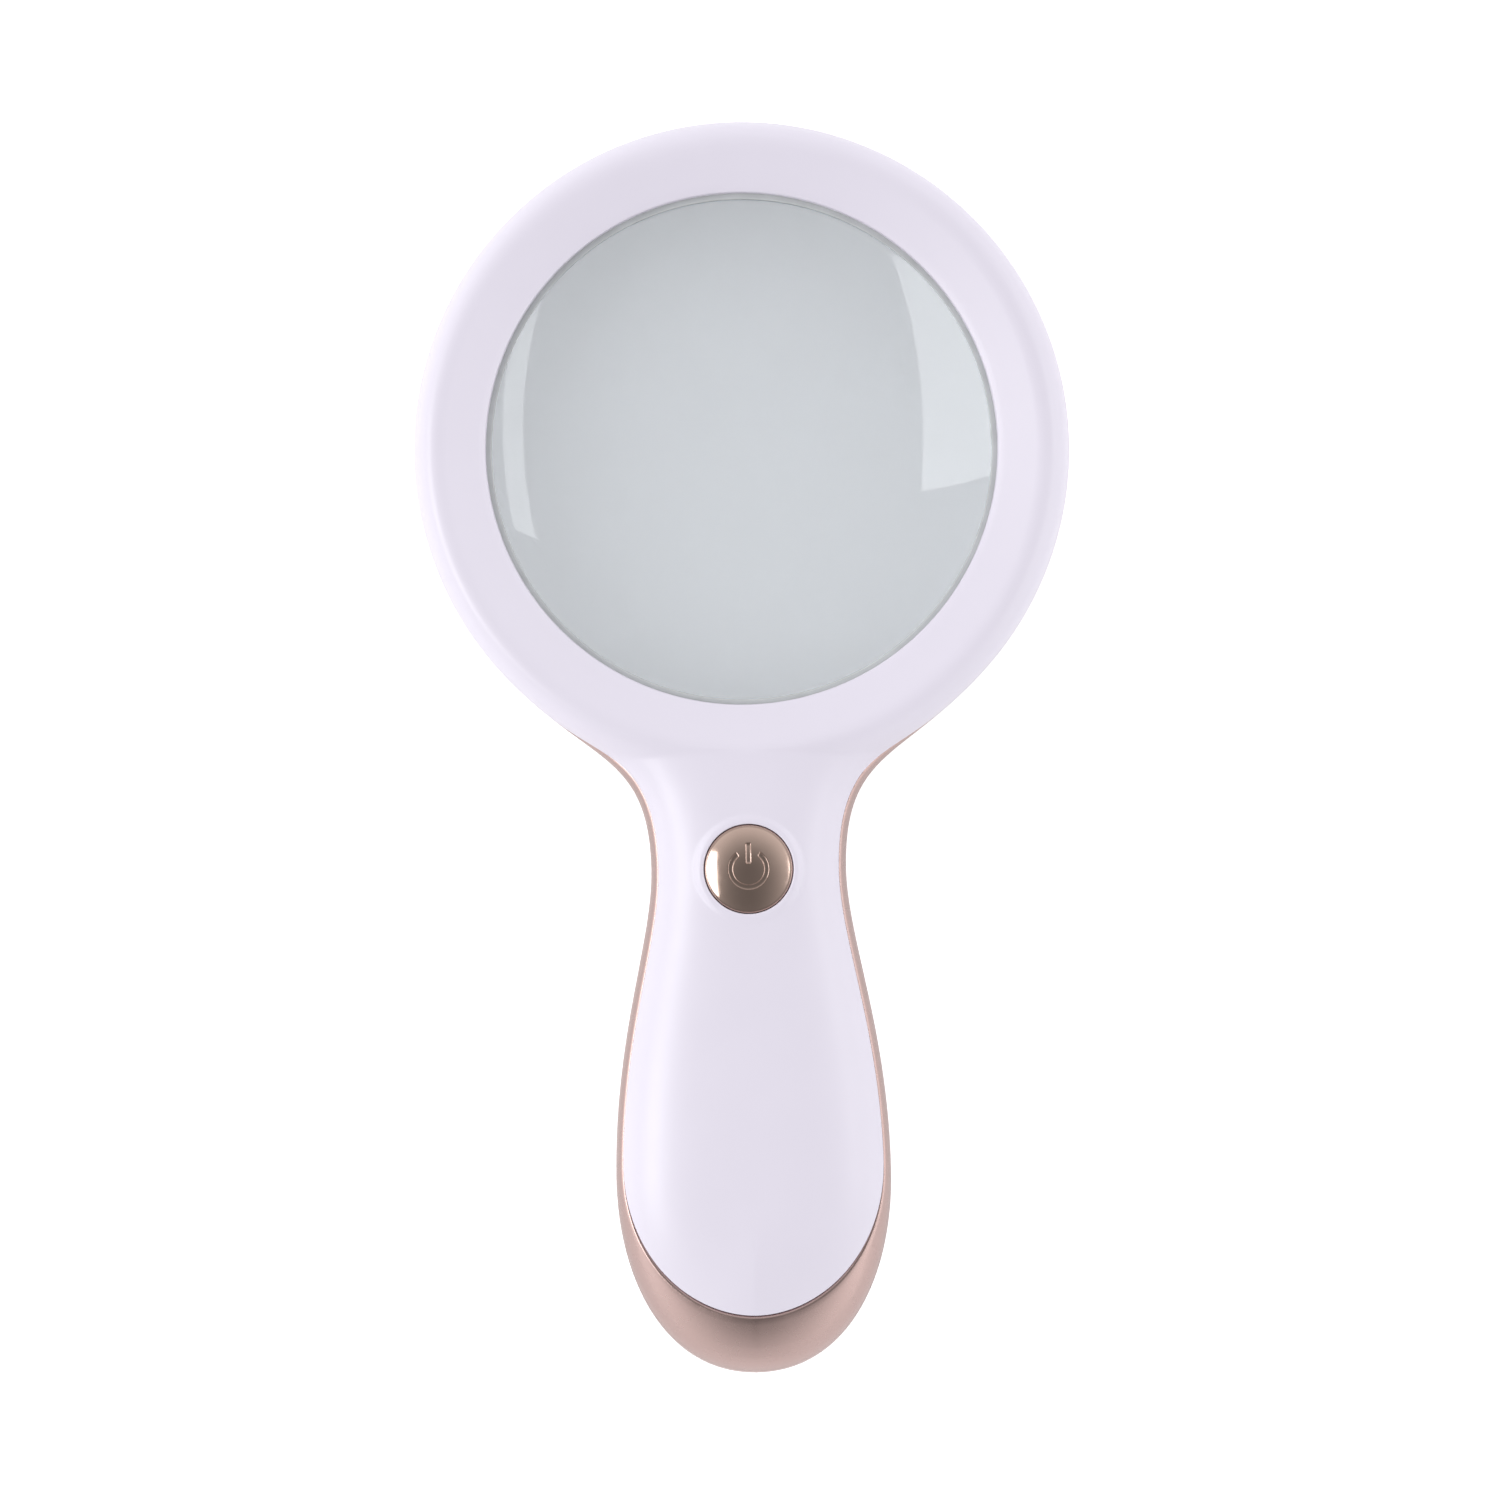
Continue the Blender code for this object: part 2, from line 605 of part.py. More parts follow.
def power_symbol():
    """Two cutters: an open circle and a bar across its gap."""
    low, high = dome_height(SYMBOL_R) - SYMBOL_DEPTH, BUTTON_TOP_Z + MM
    steps = 28
    shape = bmesh.new()
    start, sweep = math.pi / 2 + SYMBOL_GAP, 2 * math.pi - 2 * SYMBOL_GAP
    rings = []
    for step in range(steps + 1):
        angle = start + sweep * step / steps
        ray = Vector((math.cos(angle), math.sin(angle), 0))
        radii = (SYMBOL_R - SYMBOL_LINE / 2, SYMBOL_R + SYMBOL_LINE / 2)
        rings.append([shape.verts.new(ray * r + Vector((0, 0, z))) for r in radii for z in (low, high)])
    for near, far in zip(rings, rings[1:]):
        for a, b in ((0, 1), (1, 3), (3, 2), (2, 0)):
            shape.faces.new((near[a], near[b], far[b], far[a]))
    for end in (rings[0], rings[-1]):
        shape.faces.new((end[0], end[1], end[3], end[2]))
    bmesh.ops.recalc_face_normals(shape, faces=shape.faces)
    arc = new_object("symbol_arc", mesh_of("symbol_arc", shape))
    arc.location = (0, BUTTON_Y, 0)
    bar = box(
        "symbol_bar",
        (-SYMBOL_LINE / 2, BUTTON_Y + SYMBOL_BAR_Y[0], low),
        (SYMBOL_LINE / 2, BUTTON_Y + SYMBOL_BAR_Y[1], high),
    )
    return arc, bar


def button_parts():
    place = (0.0, BUTTON_Y)
    profile = [
        (0.0, dome_height(0.0)),
        (BUTTON_R / 2, dome_height(BUTTON_R / 2)),
        (BUTTON_R - BUTTON_ROUND, dome_height(BUTTON_R - BUTTON_ROUND)),
        (BUTTON_R, dome_height(BUTTON_R) - BUTTON_ROUND),
        (BUTTON_R, FLANGE_Z[1]),
        (FLANGE_R[1], FLANGE_Z[1]),
        (FLANGE_R[1], FLANGE_Z[0]),
        (FLANGE_R[0], FLANGE_Z[0]),
        (FLANGE_R[0], BUTTON_UNDER_Z),
        (0.0, BUTTON_UNDER_Z),
    ]
    button = turned("power_button", profile, ROSE, place, steps=48, closed=False)
    for cutter in power_symbol():
        combine(button, cutter, "DIFFERENCE")
    cylinder("switch_stem", STEM_R, STEM_FOOT_Z, BUTTON_UNDER_Z - GAP, place, BLACK, 20)
    housing = box(
        "switch_housing",
        (-HOUSING_HALF, BUTTON_Y - HOUSING_HALF, HOUSING_Z[0]),
        (HOUSING_HALF, BUTTON_Y + HOUSING_HALF, HOUSING_Z[1]),
        BLACK,
        HOUSING_BEVEL,
    )
    bore = cylinder("stem_bore", STEM_R + GAP, *STEM_BORE_Z, place, sides=20)
    combine(housing, bore, "DIFFERENCE")
    low, high = HOUSING_Z[1] + GAP, BUTTON_UNDER_Z - GAP
    spring = (SWITCH_SPRING_R, SWITCH_SPRING_WIRE, SWITCH_SPRING_TURNS)
    coil("switch_spring", (0.0, BUTTON_Y), low, high, *spring)
    half_x, half_y = SWITCH_BOARD_HALF
    low = (-half_x, SWITCH_BOARD_Y - half_y, SWITCH_BOARD_FOOT_Z)
    high = (half_x, SWITCH_BOARD_Y + half_y, HOUSING_Z[0] - GAP)
    box("switch_board", low, high, BOARD_GREEN)


def coil(name, place, low, high, radius, wire, turns, along_y=False):
    """A compression spring between two levels, upright or lying along Y."""
    steps = int(turns * 12)
    points = []
    for step in range(steps + 1):
        angle = 2 * math.pi * turns * step / steps
        level = low + wire + (high - low - 2 * wire) * step / steps
        x, side = radius * math.cos(angle), radius * math.sin(angle)
        if along_y:
            points.append((place[0] + x, level, place[1] + side))
        else:
            points.append((place[0] + x, place[1] + side, level))
    return tube(name, points, wire, STEEL)


# --- cells, tray and contacts --------------------------------------------------------------------


def tray():
    low = (-TRAY_HALF, TRAY_Y[0], TRAY_Z[0])
    high = (TRAY_HALF, TRAY_Y[1], TRAY_Z[1])
    made = box("battery_tray", low, high, TRAY_WHITE, TRAY_BEVEL)
    inner = box(
        "tray_hollow",
        (low[0] + TRAY_WALL, low[1] + TRAY_WALL, low[2] - CUT_PAST),
        (high[0] - TRAY_WALL, high[1] - TRAY_WALL, high[2] - TRAY_WALL),
    )
    combine(made, inner, "DIFFERENCE")


def cell(name, x, negative_y, heading):
    """One cell: a case with a raised nub at its positive end, lying along Y."""
    shoulder = CELL_LENGTH - CELL_NUB
    profile = [
        (0.0, CELL_LENGTH),
        (CELL_NUB_R, CELL_LENGTH),
        (CELL_NUB_R, shoulder),
        (CELL_R - CELL_EDGE, shoulder),
        (CELL_R, shoulder - CELL_EDGE),
        (CELL_R, CELL_EDGE),
        (CELL_R - CELL_EDGE, 0.0),
        (0.0, 0.0),
    ]
    made = turned(name, profile, CELL_SLEEVE, steps=32, closed=False)
    made.rotation_euler = (-heading * math.pi / 2, 0, 0)
    made.location = (x, negative_y, CELL_Z)


def contact_parts():
    top, bottom = TRAY_Y[1] - TRAY_WALL - GAP, TRAY_Y[0] + TRAY_WALL + GAP
    levels = (CELL_Z - CONTACT_HALF, CELL_Z + CONTACT_HALF)
    for name, x in (("contact_positive", -CELL_X), ("contact_negative", CELL_X)):
        low = (x - CONTACT_HALF, top - PLATE_THICK, levels[0])
        box(name, low, (x + CONTACT_HALF, top, levels[1]), STEEL)
    reach = CELL_X + CONTACT_HALF
    box("contact_bridge", (-reach, bottom, levels[0]), (reach, bottom + PLATE_THICK, levels[1]), STEEL)
    first_end, second_end = top - PLATE_THICK - GAP, bottom + PLATE_THICK + GAP
    cell("cell_1", -CELL_X, first_end - CELL_LENGTH, 1)
    cell("cell_2", CELL_X, second_end + CELL_LENGTH, -1)
    gap_1 = (bottom + PLATE_THICK + GAP, first_end - CELL_LENGTH - GAP)
    gap_2 = (second_end + CELL_LENGTH + GAP, top - PLATE_THICK - GAP)
    spring = (BATTERY_SPRING_R, BATTERY_SPRING_WIRE, BATTERY_SPRING_TURNS)
    coil("battery_spring_1", (-CELL_X, CELL_Z), *gap_1, *spring, along_y=True)
    coil("battery_spring_2", (CELL_X, CELL_Z), *gap_2, *spring, along_y=True)


# --- screws and wires ----------------------------------------------------------------------------


def screws():
    crown, shoulder, seat = SCREW_HEAD_Z
    profile = [
        (0.0, SCREW_TIP_Z),
        (SCREW_TIP_R, SCREW_TIP_Z),
        (SCREW_R, SCREW_TAPER_Z),
        (SCREW_R, seat),
        (SCREW_HEAD_R[1], seat),
        (SCREW_HEAD_R[1], shoulder),
        (SCREW_HEAD_R[0], crown),
        (0.0, crown),
    ]
    for number, (_, place) in enumerate(both_sides(SCREW_PLACES)):
        name = f"case_screw_{number + 1}"
        made = turned(name, profile, STEEL, place, steps=14, closed=False)
        for turn in (0, 1):
            half = SCREW_SLOT if turn else SCREW_SLOT.yxz
            centre = Vector((*place, SCREW_SLOT_Z))
            slot = box(f"{name}_slot_{turn}", centre - half, centre + half)
            combine(made, slot, "DIFFERENCE")


def wires():
    routes = (("led_wire", LED_WIRE_X, LED_ROUTE), ("battery_wire", BATTERY_WIRE_X, CELL_ROUTE))
    for side, look, tag in ((-1, WIRE_RED, "red"), (1, WIRE_BLACK, "black")):
        for name, x, route in routes:
            tube(f"{name}_{tag}", [(side * x, y * MM, z * MM) for y, z in route], WIRE_R, look)


front_shell()
rear_shell()
battery_door()
lens_parts()
light_parts()
button_parts()
tray()
contact_parts()
screws()
wires()
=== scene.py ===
"""Looks of the hand-held illuminated magnifier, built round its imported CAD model.

The object lies on its back: +Z is its front face, +Y the top of the lens head, X across.  Metres.
The two shells and the battery door repeat the CAD's outer form on many more stations, and the small
parts inside are made again with their details.
"""

import json
import math

import bmesh
import bpy
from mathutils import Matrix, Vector
from mathutils.bvhtree import BVHTree


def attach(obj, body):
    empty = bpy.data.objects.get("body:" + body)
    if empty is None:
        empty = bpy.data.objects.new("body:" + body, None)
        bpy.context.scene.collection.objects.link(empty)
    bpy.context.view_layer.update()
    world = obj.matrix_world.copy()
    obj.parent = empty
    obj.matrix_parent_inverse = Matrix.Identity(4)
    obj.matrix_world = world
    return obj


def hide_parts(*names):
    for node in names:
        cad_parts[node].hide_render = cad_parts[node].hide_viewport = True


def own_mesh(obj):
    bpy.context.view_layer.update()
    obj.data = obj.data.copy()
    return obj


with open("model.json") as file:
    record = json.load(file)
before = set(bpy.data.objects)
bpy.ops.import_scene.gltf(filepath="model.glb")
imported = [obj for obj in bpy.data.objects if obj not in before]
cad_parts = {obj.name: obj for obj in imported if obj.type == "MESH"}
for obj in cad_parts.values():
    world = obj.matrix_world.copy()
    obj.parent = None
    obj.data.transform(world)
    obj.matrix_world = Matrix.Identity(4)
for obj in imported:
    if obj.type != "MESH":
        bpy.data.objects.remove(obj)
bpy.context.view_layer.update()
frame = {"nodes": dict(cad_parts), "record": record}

MM = 0.001


def mm(*values):
    return tuple(value * MM for value in values)


GAP = 0.3 * MM
MERGE = 0.00001
CUT_PAST = 5 * MM  # how far a cutter reaches past the surface it cuts

# Outline, seen from the front
HEAD_R, HEAD_Y, TIP_Y = mm(54.4, 49.55, -103.95)
NECK_HALF, NECK_Y = mm(16.25, -20.0)
BELLY_HALF, BELLY_Y = mm(22.9, -71.0)
FILLET_ANGLE = math.radians(-42.7)  # where the neck's curve leaves the head's circle
FILLET_PULL = mm(19.7, 20.3)
SIDE_PULL = mm(23.9, 11.9)
TIP_PULL = mm(14.8, 18.0)

# Front and rear surfaces
RIDGE_R, HOLE_R = mm(49.6, 42.2)
SEAM_Z, RIDGE_Z, HOLE_Z, LIP_Z = mm(11.5, 22.0, 19.8, 17.8)
BELLY_RISE, BELLY_RISE_Y, BELLY_RISE_WIDTH = mm(0.9, -66.0, 26.0)
CREST_END_Y = -82.0 * MM
FRONT_POWER, TIP_POWER, REAR_POWER = 3.0, 2.0, 2.0
WALL = 2.0 * MM
REAR_HOLE_R = 51.1 * MM
RING_ROUND, HANDLE_ROUND = 0.74, 0.30
EDGE_ROUND = 0.22 * MM  # moulded edges of the front shell
RIM_ROUND = 0.6 * MM  # the metal rim beside the front plate

# Parting line
PLATE_HALF, PLATE_Y, PLATE_LENGTH = mm(21.6, -68.85, 24.5)
PLATE_STEPS = 1600
STRIP, STRIP_START_Y, STRIP_FULL_Y = mm(1.25, 10.0, -6.0)
PARTING_ANGLE = 0.005
EDGE_ANGLE, RIM_ANGLE, UPPER_ANGLE = 0.03, 0.075, 0.12

# Battery door
DOOR_HALF, DOOR_TOP_Y, DOOR_Z = mm(12.8, -38.0, 6.0)
GRIP_COUNT, GRIP_HALF, GRIP_TOP_Y, GRIP_STEP = 5, 5.0 * MM, -44.0 * MM, 1.8 * MM
GRIP_WIDTH, GRIP_DEPTH = mm(0.7, 0.35)

# Button and its collar
BUTTON_Y = -19.7 * MM
BUTTON_R, BUTTON_HOLE_R = mm(7.28, 7.4)
BUTTON_TOP_Z, BUTTON_DOME_R, BUTTON_ROUND = mm(22.9, 20.2, 0.3)
BUTTON_UNDER_Z = 19.6 * MM
FLANGE_R, FLANGE_Z = mm(6.2, 8.0), mm(16.8, 17.6)
COLLAR_TOP_R, COLLAR_FOOT_R, COLLAR_Z = mm(8.0, 9.2, 22.2)
COLLAR_WALL_Z, COLLAR_MARGIN = mm(19.5, 1.2)
PATCH_R, PATCH_REACH = mm(11.2, 3.0)  # skin cut away round the button, and how ragged its edge is
SYMBOL_R, SYMBOL_LINE, SYMBOL_DEPTH = mm(2.98, 0.78, 0.16)
SYMBOL_GAP = math.radians(36)
SYMBOL_BAR_Y = mm(0.95, 4.2)
SYMBOL_EDGE = 0.07 * MM

# Screws
SCREW_PLACES = (mm(11.0, -8.0), mm(16.3, -62.0))
BOSS_JOIN_Z = 7.2 * MM
FRONT_BOSS_R, REAR_BOSS_R, REAR_BOSS_Z = mm(2.6, 3.0, 1.9)
SCREW_R, HEAD_BORE_R, HEAD_SEAT_Z = mm(1.15, 2.6, 4.1)
FRONT_DRILL_Z, REAR_DRILL_TOP_Z = mm(5.0, 14.0), 9.0 * MM
SCREW_CORE_R, THREAD_PITCH, THREAD_Z = 0.88 * MM, 0.62 * MM, mm(4.6, 12.0)
SCREW_TIP_R, SCREW_TIP_Z = mm(0.6, 13.0)
SCREW_HEAD_R, SCREW_HEAD_Z = mm(1.6, 2.3), mm(1.9, 2.4, 3.8)
HEAD_EDGE, SLOT_HALF, SLOT_EDGE = 0.15 * MM, Vector((1.3, 0.24, 0.8)) * MM, 0.05 * MM
THREAD_HALF, THREAD_SUNK, THREAD_SIDES = 0.22 * MM, 0.05 * MM, 24
SCREW_TURNS = (0.4, 1.1, 1.8, 2.5)  # how far each screw happens to be turned

# Lens and light ring
LENS_R, LENS_RISE = mm(44.5, 4.7)
LENS_RIM_Z = mm(13.5, 16.0)
SEAT_R, SEAL_R, SEAL_EDGE = mm(41.3, 44.0, 0.3)
RETAINER_R, RETAINER_Z, RETAINER_EDGE = mm(42.5, 49.5), mm(11.4, 12.6), 0.2 * MM
SLEEVE_R, SLEEVE_TOP_Z = mm(41.3, 42.1), 12.4 * MM
WINDOW_R, WINDOW_Z, WINDOW_EDGE = 50.8 * MM, mm(0.3, 1.5), 0.25 * MM

# LEDs and their board
BOARD_R, BOARD_Z, BOARD_EDGE = mm(43.2, 50.6), mm(4.2, 5.4), 0.1 * MM
LED_COUNT, LED_CIRCLE_R, LED_SIZE = 12, 46.9 * MM, Vector((3.5, 2.8, 0.8)) * MM
LED_EYE_R, LED_EYE_DEPTH, LED_EYE_ROOM = mm(1.1, 0.2, 0.05)
CHIP_SIZE, CHIP_EDGE = Vector((1.6, 0.8, 0.45)) * MM, 0.06 * MM
SHEET_EDGE = 0.12 * MM  # on the LEDs' cases, the switch's board and the contact plates

# Switch
STEM_R, STEM_Z, STEM_EDGE = 1.9 * MM, mm(12.8, 19.3), 0.3 * MM
HOUSING_HALF, HOUSING_Z, HOUSING_EDGE = 4.3 * MM, mm(10.1, 15.0), 0.3 * MM
STEM_BORE_Z, HOLE_EDGE = mm(11, 18), 0.06 * MM
RIVET_AWAY, RIVET_R, RIVET_DEPTH = mm(3.3, 0.45, 0.25)
SWITCH_BOARD_HALF, SWITCH_BOARD_Y, SWITCH_BOARD_Z = mm(9.0, 8.0), -21.0 * MM, mm(8.6, 9.8)
BOARD_HOLE_R, BOARD_HOLE_X, BOARD_HOLE_Y = mm(0.6, 7.6, -27.6)
SWITCH_CHIPS = (  # x, y, width, depth and height in millimetres
    (-7.2, -26.6, 2.6, 1.8, 0.9),
    (-7.4, -22.5, 1.2, 2.0, 0.5),
    (6.0, -26.4, 1.2, 2.0, 0.5),
    (6.0, -22.2, 2.0, 1.2, 0.5),
)
SWITCH_CHIP_EDGE = 0.08 * MM
SPRING_Z, SPRING_R, SPRING_WIRE, SPRING_TURNS = mm(15.3, 19.3), 3.4 * MM, 0.3 * MM, 3.5

# Cells, lying along Y, and their tray
CELL_R, CELL_LENGTH, CELL_X, CELL_Z = mm(5.25, 44.4, 5.5, 8.05)
NUB_R, NUB, NUB_TAPER, CAN_R, CAN_EDGE = mm(1.9, 0.9, 0.05, 5.13, 0.25)
NEGATIVE_R, NEGATIVE_DEPTH = mm(2.9, 0.2)  # the negative end's dished middle
FOLD, SLEEVE_WALL, SLEEVE_EDGE = mm(1.0, 0.1, 0.35)
BAND, BAND_HEIGHT = mm(9.0, 1.2), mm(-0.05, 0.03)  # below the shoulder, and off the sleeve
TRAY_HALF, TRAY_Y, TRAY_Z, TRAY_WALL = 12.0 * MM, mm(-91.2, -39.4), mm(2.8, 15.2), 0.9 * MM
TRAY_EDGE, RIB_HALF, RIB_WIDTH, RIB_Z = 0.25 * MM, 10.5 * MM, 0.9 * MM, mm(13.6, 14.5)
RIB_YS = mm(-83.0, -65.6, -48.0)
CONTACT_HALF, PLATE_THICK = mm(4.0, 0.4)
CONTACT_TOP_Y, CONTACT_FOOT_Y = TRAY_Y[1] - TRAY_WALL - GAP, TRAY_Y[0] + TRAY_WALL + GAP
CELL_SPRING_R, CELL_SPRING_WIRE, CELL_SPRING_TURNS = mm(2.6, 2.0), 0.35 * MM, 2.5

# Wires, as (y, z) in millimetres
WIRE_R, LED_WIRE_X, BATTERY_WIRE_X = mm(0.5, 3.0, 6.5)
LED_ROUTE = ((-14.0, 10.6), (-11.0, 10.9), (-8.0, 10.3), (-5.0, 8.7), (-2.0, 6.9), (1.0, 6.3), (4.0, 6.25))
CELL_ROUTE = ((-38.9, 10.0), (-36.5, 10.0), (-34.0, 10.4), (-31.0, 10.9), (-28.0, 10.9), (-26.0, 10.45))

FINE = 160  # sides of a large turned piece

# Camera, floor and light
SENSOR, FOCAL_LENGTH = 36.0, 100.8
CAMERA_PLACE, CAMERA_TURN = (0.55 * MM, -0.17 * MM, SEAM_Z + 0.7), math.radians(-0.95)
FLOOR_HALF, FLOOR_Z = 5.0, -0.2 * MM
FLOOR_GLOW, FLOOR_GLOW_SEEN = 0.25, 0.5  # everywhere, and what is added where it is seen directly
LIGHT_HEIGHT = 1.0
ROOM, ROOM_SIDES = 0.92, 0.75  # brightness of the room, and how much is added straight left and right
ROOM_DIM, DIM_DIRECTION = 0.2, (0.0, -0.30, 0.95)  # brightness and place of the dim patch overhead
DIM_REACH = (math.radians(12), math.radians(62))  # where it starts to lighten, and where it ends


# --- meshes and objects ---


def linked(name, data):
    made = bpy.data.objects.new(name, data)
    bpy.context.scene.collection.objects.link(made)
    return made


def new_object(name, shape):
    mesh = bpy.data.meshes.new(name)
    shape.to_mesh(mesh)
    shape.free()
    return linked(name, mesh)


def smooth(piece, degrees=35):
    piece.data.shade_smooth()
    piece.data.set_sharp_from_angle(angle=math.radians(degrees))


def applied(piece):
    """The piece with its modifiers made part of its mesh."""
    graph = bpy.context.evaluated_depsgraph_get()
    old = piece.data
    piece.data = bpy.data.meshes.new_from_object(piece.evaluated_get(graph))
    piece.modifiers.clear()
    bpy.data.meshes.remove(old)
    return piece


def combine(piece, other, operation):
    joined = piece.modifiers.new("boolean", "BOOLEAN")
    joined.operation = operation
    joined.object = other
    applied(piece)
    bpy.data.objects.remove(other)


def cut(piece, cutter):
    combine(piece, cutter, "DIFFERENCE")


def bevel(piece, width, degrees=50, segments=3):
    rounding = piece.modifiers.new("edges", "BEVEL")
    rounding.width = width
    rounding.segments = segments
    rounding.limit_method = "ANGLE"
    rounding.angle_limit = math.radians(degrees)
    rounding.use_clamp_overlap = False
    applied(piece)


def boxes(name, limits, edge=0.0):
    """Several boxes, each given by two corners, as one piece with eased edges."""
    shape = bmesh.new()
    for low, high in limits:
        low, high = Vector(low), Vector(high)
        verts = bmesh.ops.create_cube(shape, size=1.0)["verts"]
        bmesh.ops.scale(shape, vec=high - low, verts=verts)
        bmesh.ops.translate(shape, vec=(low + high) / 2, verts=verts)
    made = new_object(name, shape)
    if edge:
        bevel(made, edge, segments=2)
        smooth(made)
    return made


def box(name, low, high):
    return boxes(name, [(low, high)])


def polar(radius, angle):
    return radius * math.cos(angle), radius * math.sin(angle)


def join_rings(shape, rings):
    """Makes a closed tube of rings of vertices."""
    for near, far in zip(rings, rings[1:]):
        for k in range(len(near)):
            shape.faces.new((near[k - 1], near[k], far[k], far[k - 1]))
    shape.faces.new(rings[0])
    shape.faces.new(rings[-1])
    bmesh.ops.recalc_face_normals(shape, faces=shape.faces)


def copied(template, name, place, turn=0.0):
    made = linked(name, template.data.copy())
    made.location = place
    made.rotation_euler = (0, 0, turn)
    return made


def swept(name, path, radius, sides=12):
    """A round wire along a path."""
    shape = bmesh.new()
    rings = []
    side = None
    for index, point in enumerate(path):
        ahead = (path[min(index + 1, len(path) - 1)] - path[max(index - 1, 0)]).normalized()
        side = side or ahead.orthogonal()
        side = (side - ahead * side.dot(ahead)).normalized()
        other = ahead.cross(side)
        turns = [math.tau * step / sides for step in range(sides)]
        away = [side * math.cos(turn) + other * math.sin(turn) for turn in turns]
        rings.append([shape.verts.new(point + step * radius) for step in away])
    join_rings(shape, rings)
    made = new_object(name, shape)
    smooth(made, 60)
    return made


def through(corners, steps=8):
    """A smooth path through corners, a Catmull-Rom curve."""
    corners = [Vector(corner) for corner in corners]
    ends = [corners[0] * 2 - corners[1]] + corners + [corners[-1] * 2 - corners[-2]]
    path = [corners[0]]
    for a, b, c, d in zip(ends, ends[1:], ends[2:], ends[3:]):
        for step in range(1, steps + 1):
            t = step / steps
            bend, twist = a * 2 - b * 5 + c * 4 - d, b * 3 - a - c * 3 + d
            path.append((b * 2 + (c - a) * t + bend * t**2 + twist * t**3) / 2)
    return path


def coil(name, place, low, high, radii, wire, turns, steps=36):
    """A compression spring with closed ends, standing on the vertical axis through a place."""
    end_turns = 0.75
    closed = end_turns * 2 * wire
    path = []
    for step in range(round(turns * steps) + 1):
        turn = step / steps
        if turn < end_turns:
            rise = 2 * wire * turn
        elif turn > turns - end_turns:
            rise = high - low - 2 * wire - 2 * wire * (turns - turn)
        else:
            share = (turn - end_turns) / (turns - 2 * end_turns)
            rise = closed + (high - low - 2 * wire - 2 * closed) * share
        radius = radii[0] + (radii[1] - radii[0]) * turn / turns
        x, y = polar(radius, math.tau * turn)
        path.append(Vector((place[0] + x, place[1] + y, low + wire + rise)))
    return swept(name, path, wire, 14)


def laid_down(piece, place, heading):
    """The upright piece turned to lie along Y, towards +Y for heading 1."""
    piece.rotation_euler = (-heading * math.pi / 2, 0, 0)
    piece.location = place
    return piece


def cylinder(name, radius, low_z, high_z, place, sides=48):
    shape = bmesh.new()
    size = {"radius1": radius, "radius2": radius, "depth": high_z - low_z}
    bmesh.ops.create_cone(shape, cap_ends=True, segments=sides, **size)
    bmesh.ops.translate(shape, vec=(*place, (low_z + high_z) / 2), verts=shape.verts)
    return new_object(name, shape)


def drill(piece, *size):
    cut(piece, cylinder("drill", *size))


def rounded(corners, radius, segments=3, closed=True):
    """A profile of (radius, height) with its corners eased."""
    corners = [Vector(corner) for corner in corners]
    points = []
    for index, corner in enumerate(corners):
        if not closed and index in (0, len(corners) - 1):
            points.append(corner)
            continue
        before, after = corners[index - 1], corners[(index + 1) % len(corners)]
        start = corner + (before - corner).normalized() * min(radius, (before - corner).length * 0.45)
        end = corner + (after - corner).normalized() * min(radius, (after - corner).length * 0.45)
        for step in range(segments + 1):
            t = step / segments
            points.append(start * (1 - t) ** 2 + corner * 2 * t * (1 - t) + end * t * t)
    return points


def band(radii, heights):
    """The profile of a flat ring."""
    (inner, outer), (low, high) = radii, heights
    return [(outer, high), (outer, low), (inner, low), (inner, high)]


def turned(name, profile, place, steps=FINE, closed=True):
    """A profile of (radius, height), down its outer side, turned about the vertical axis."""
    shape = bmesh.new()
    rings = []
    for radius, height in profile:
        if radius < MERGE:
            rings.append([shape.verts.new((*place, height))] * steps)
            continue
        angles = [math.tau * step / steps for step in range(steps)]
        spots = [polar(radius, angle) for angle in angles]
        rings.append([shape.verts.new((place[0] + x, place[1] + y, height)) for x, y in spots])
    pairs = list(zip(rings, rings[1:])) + ([(rings[-1], rings[0])] if closed else [])
    for upper, lower in pairs:
        for step in range(steps):
            after = (step + 1) % steps
            corners = dict.fromkeys([upper[step], lower[step], lower[after], upper[after]])
            if len(corners) > 2:
                shape.faces.new(list(corners))
    made = new_object(name, shape)
    smooth(made)
    return made


def shown(piece, slot, *nodes, body="body"):
    """The piece gets its slot's look, rides on its body and stands for its CAD nodes."""
    piece.data.materials.clear()
    piece.data.materials.append(LOOKS[slot])
    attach(piece, body)
    if nodes:
        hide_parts(*nodes)
    return piece


# --- the outer form ---


def bezier(start, pull_1, pull_2, end, count):
    """The points after start on a cubic curve."""
    points = []
    for step in range(1, count + 1):
        t = step / count
        near, far = start * (1 - t) ** 3 + pull_1 * 3 * t * (1 - t) ** 2, pull_2 * 3 * t * t * (1 - t)
        points.append(near + far + end * t**3)
    return points


def on_head(radius, angle):
    return Vector((radius * math.cos(angle), HEAD_Y + radius * math.sin(angle)))


def between(first, last, count):
    """The values after first, evenly spaced up to last."""
    return [first + (last - first) * step / count for step in range(1, count + 1)]


def snapped(point):
    return Vector((0.0 if abs(point.x) < MERGE else point.x, point.y))


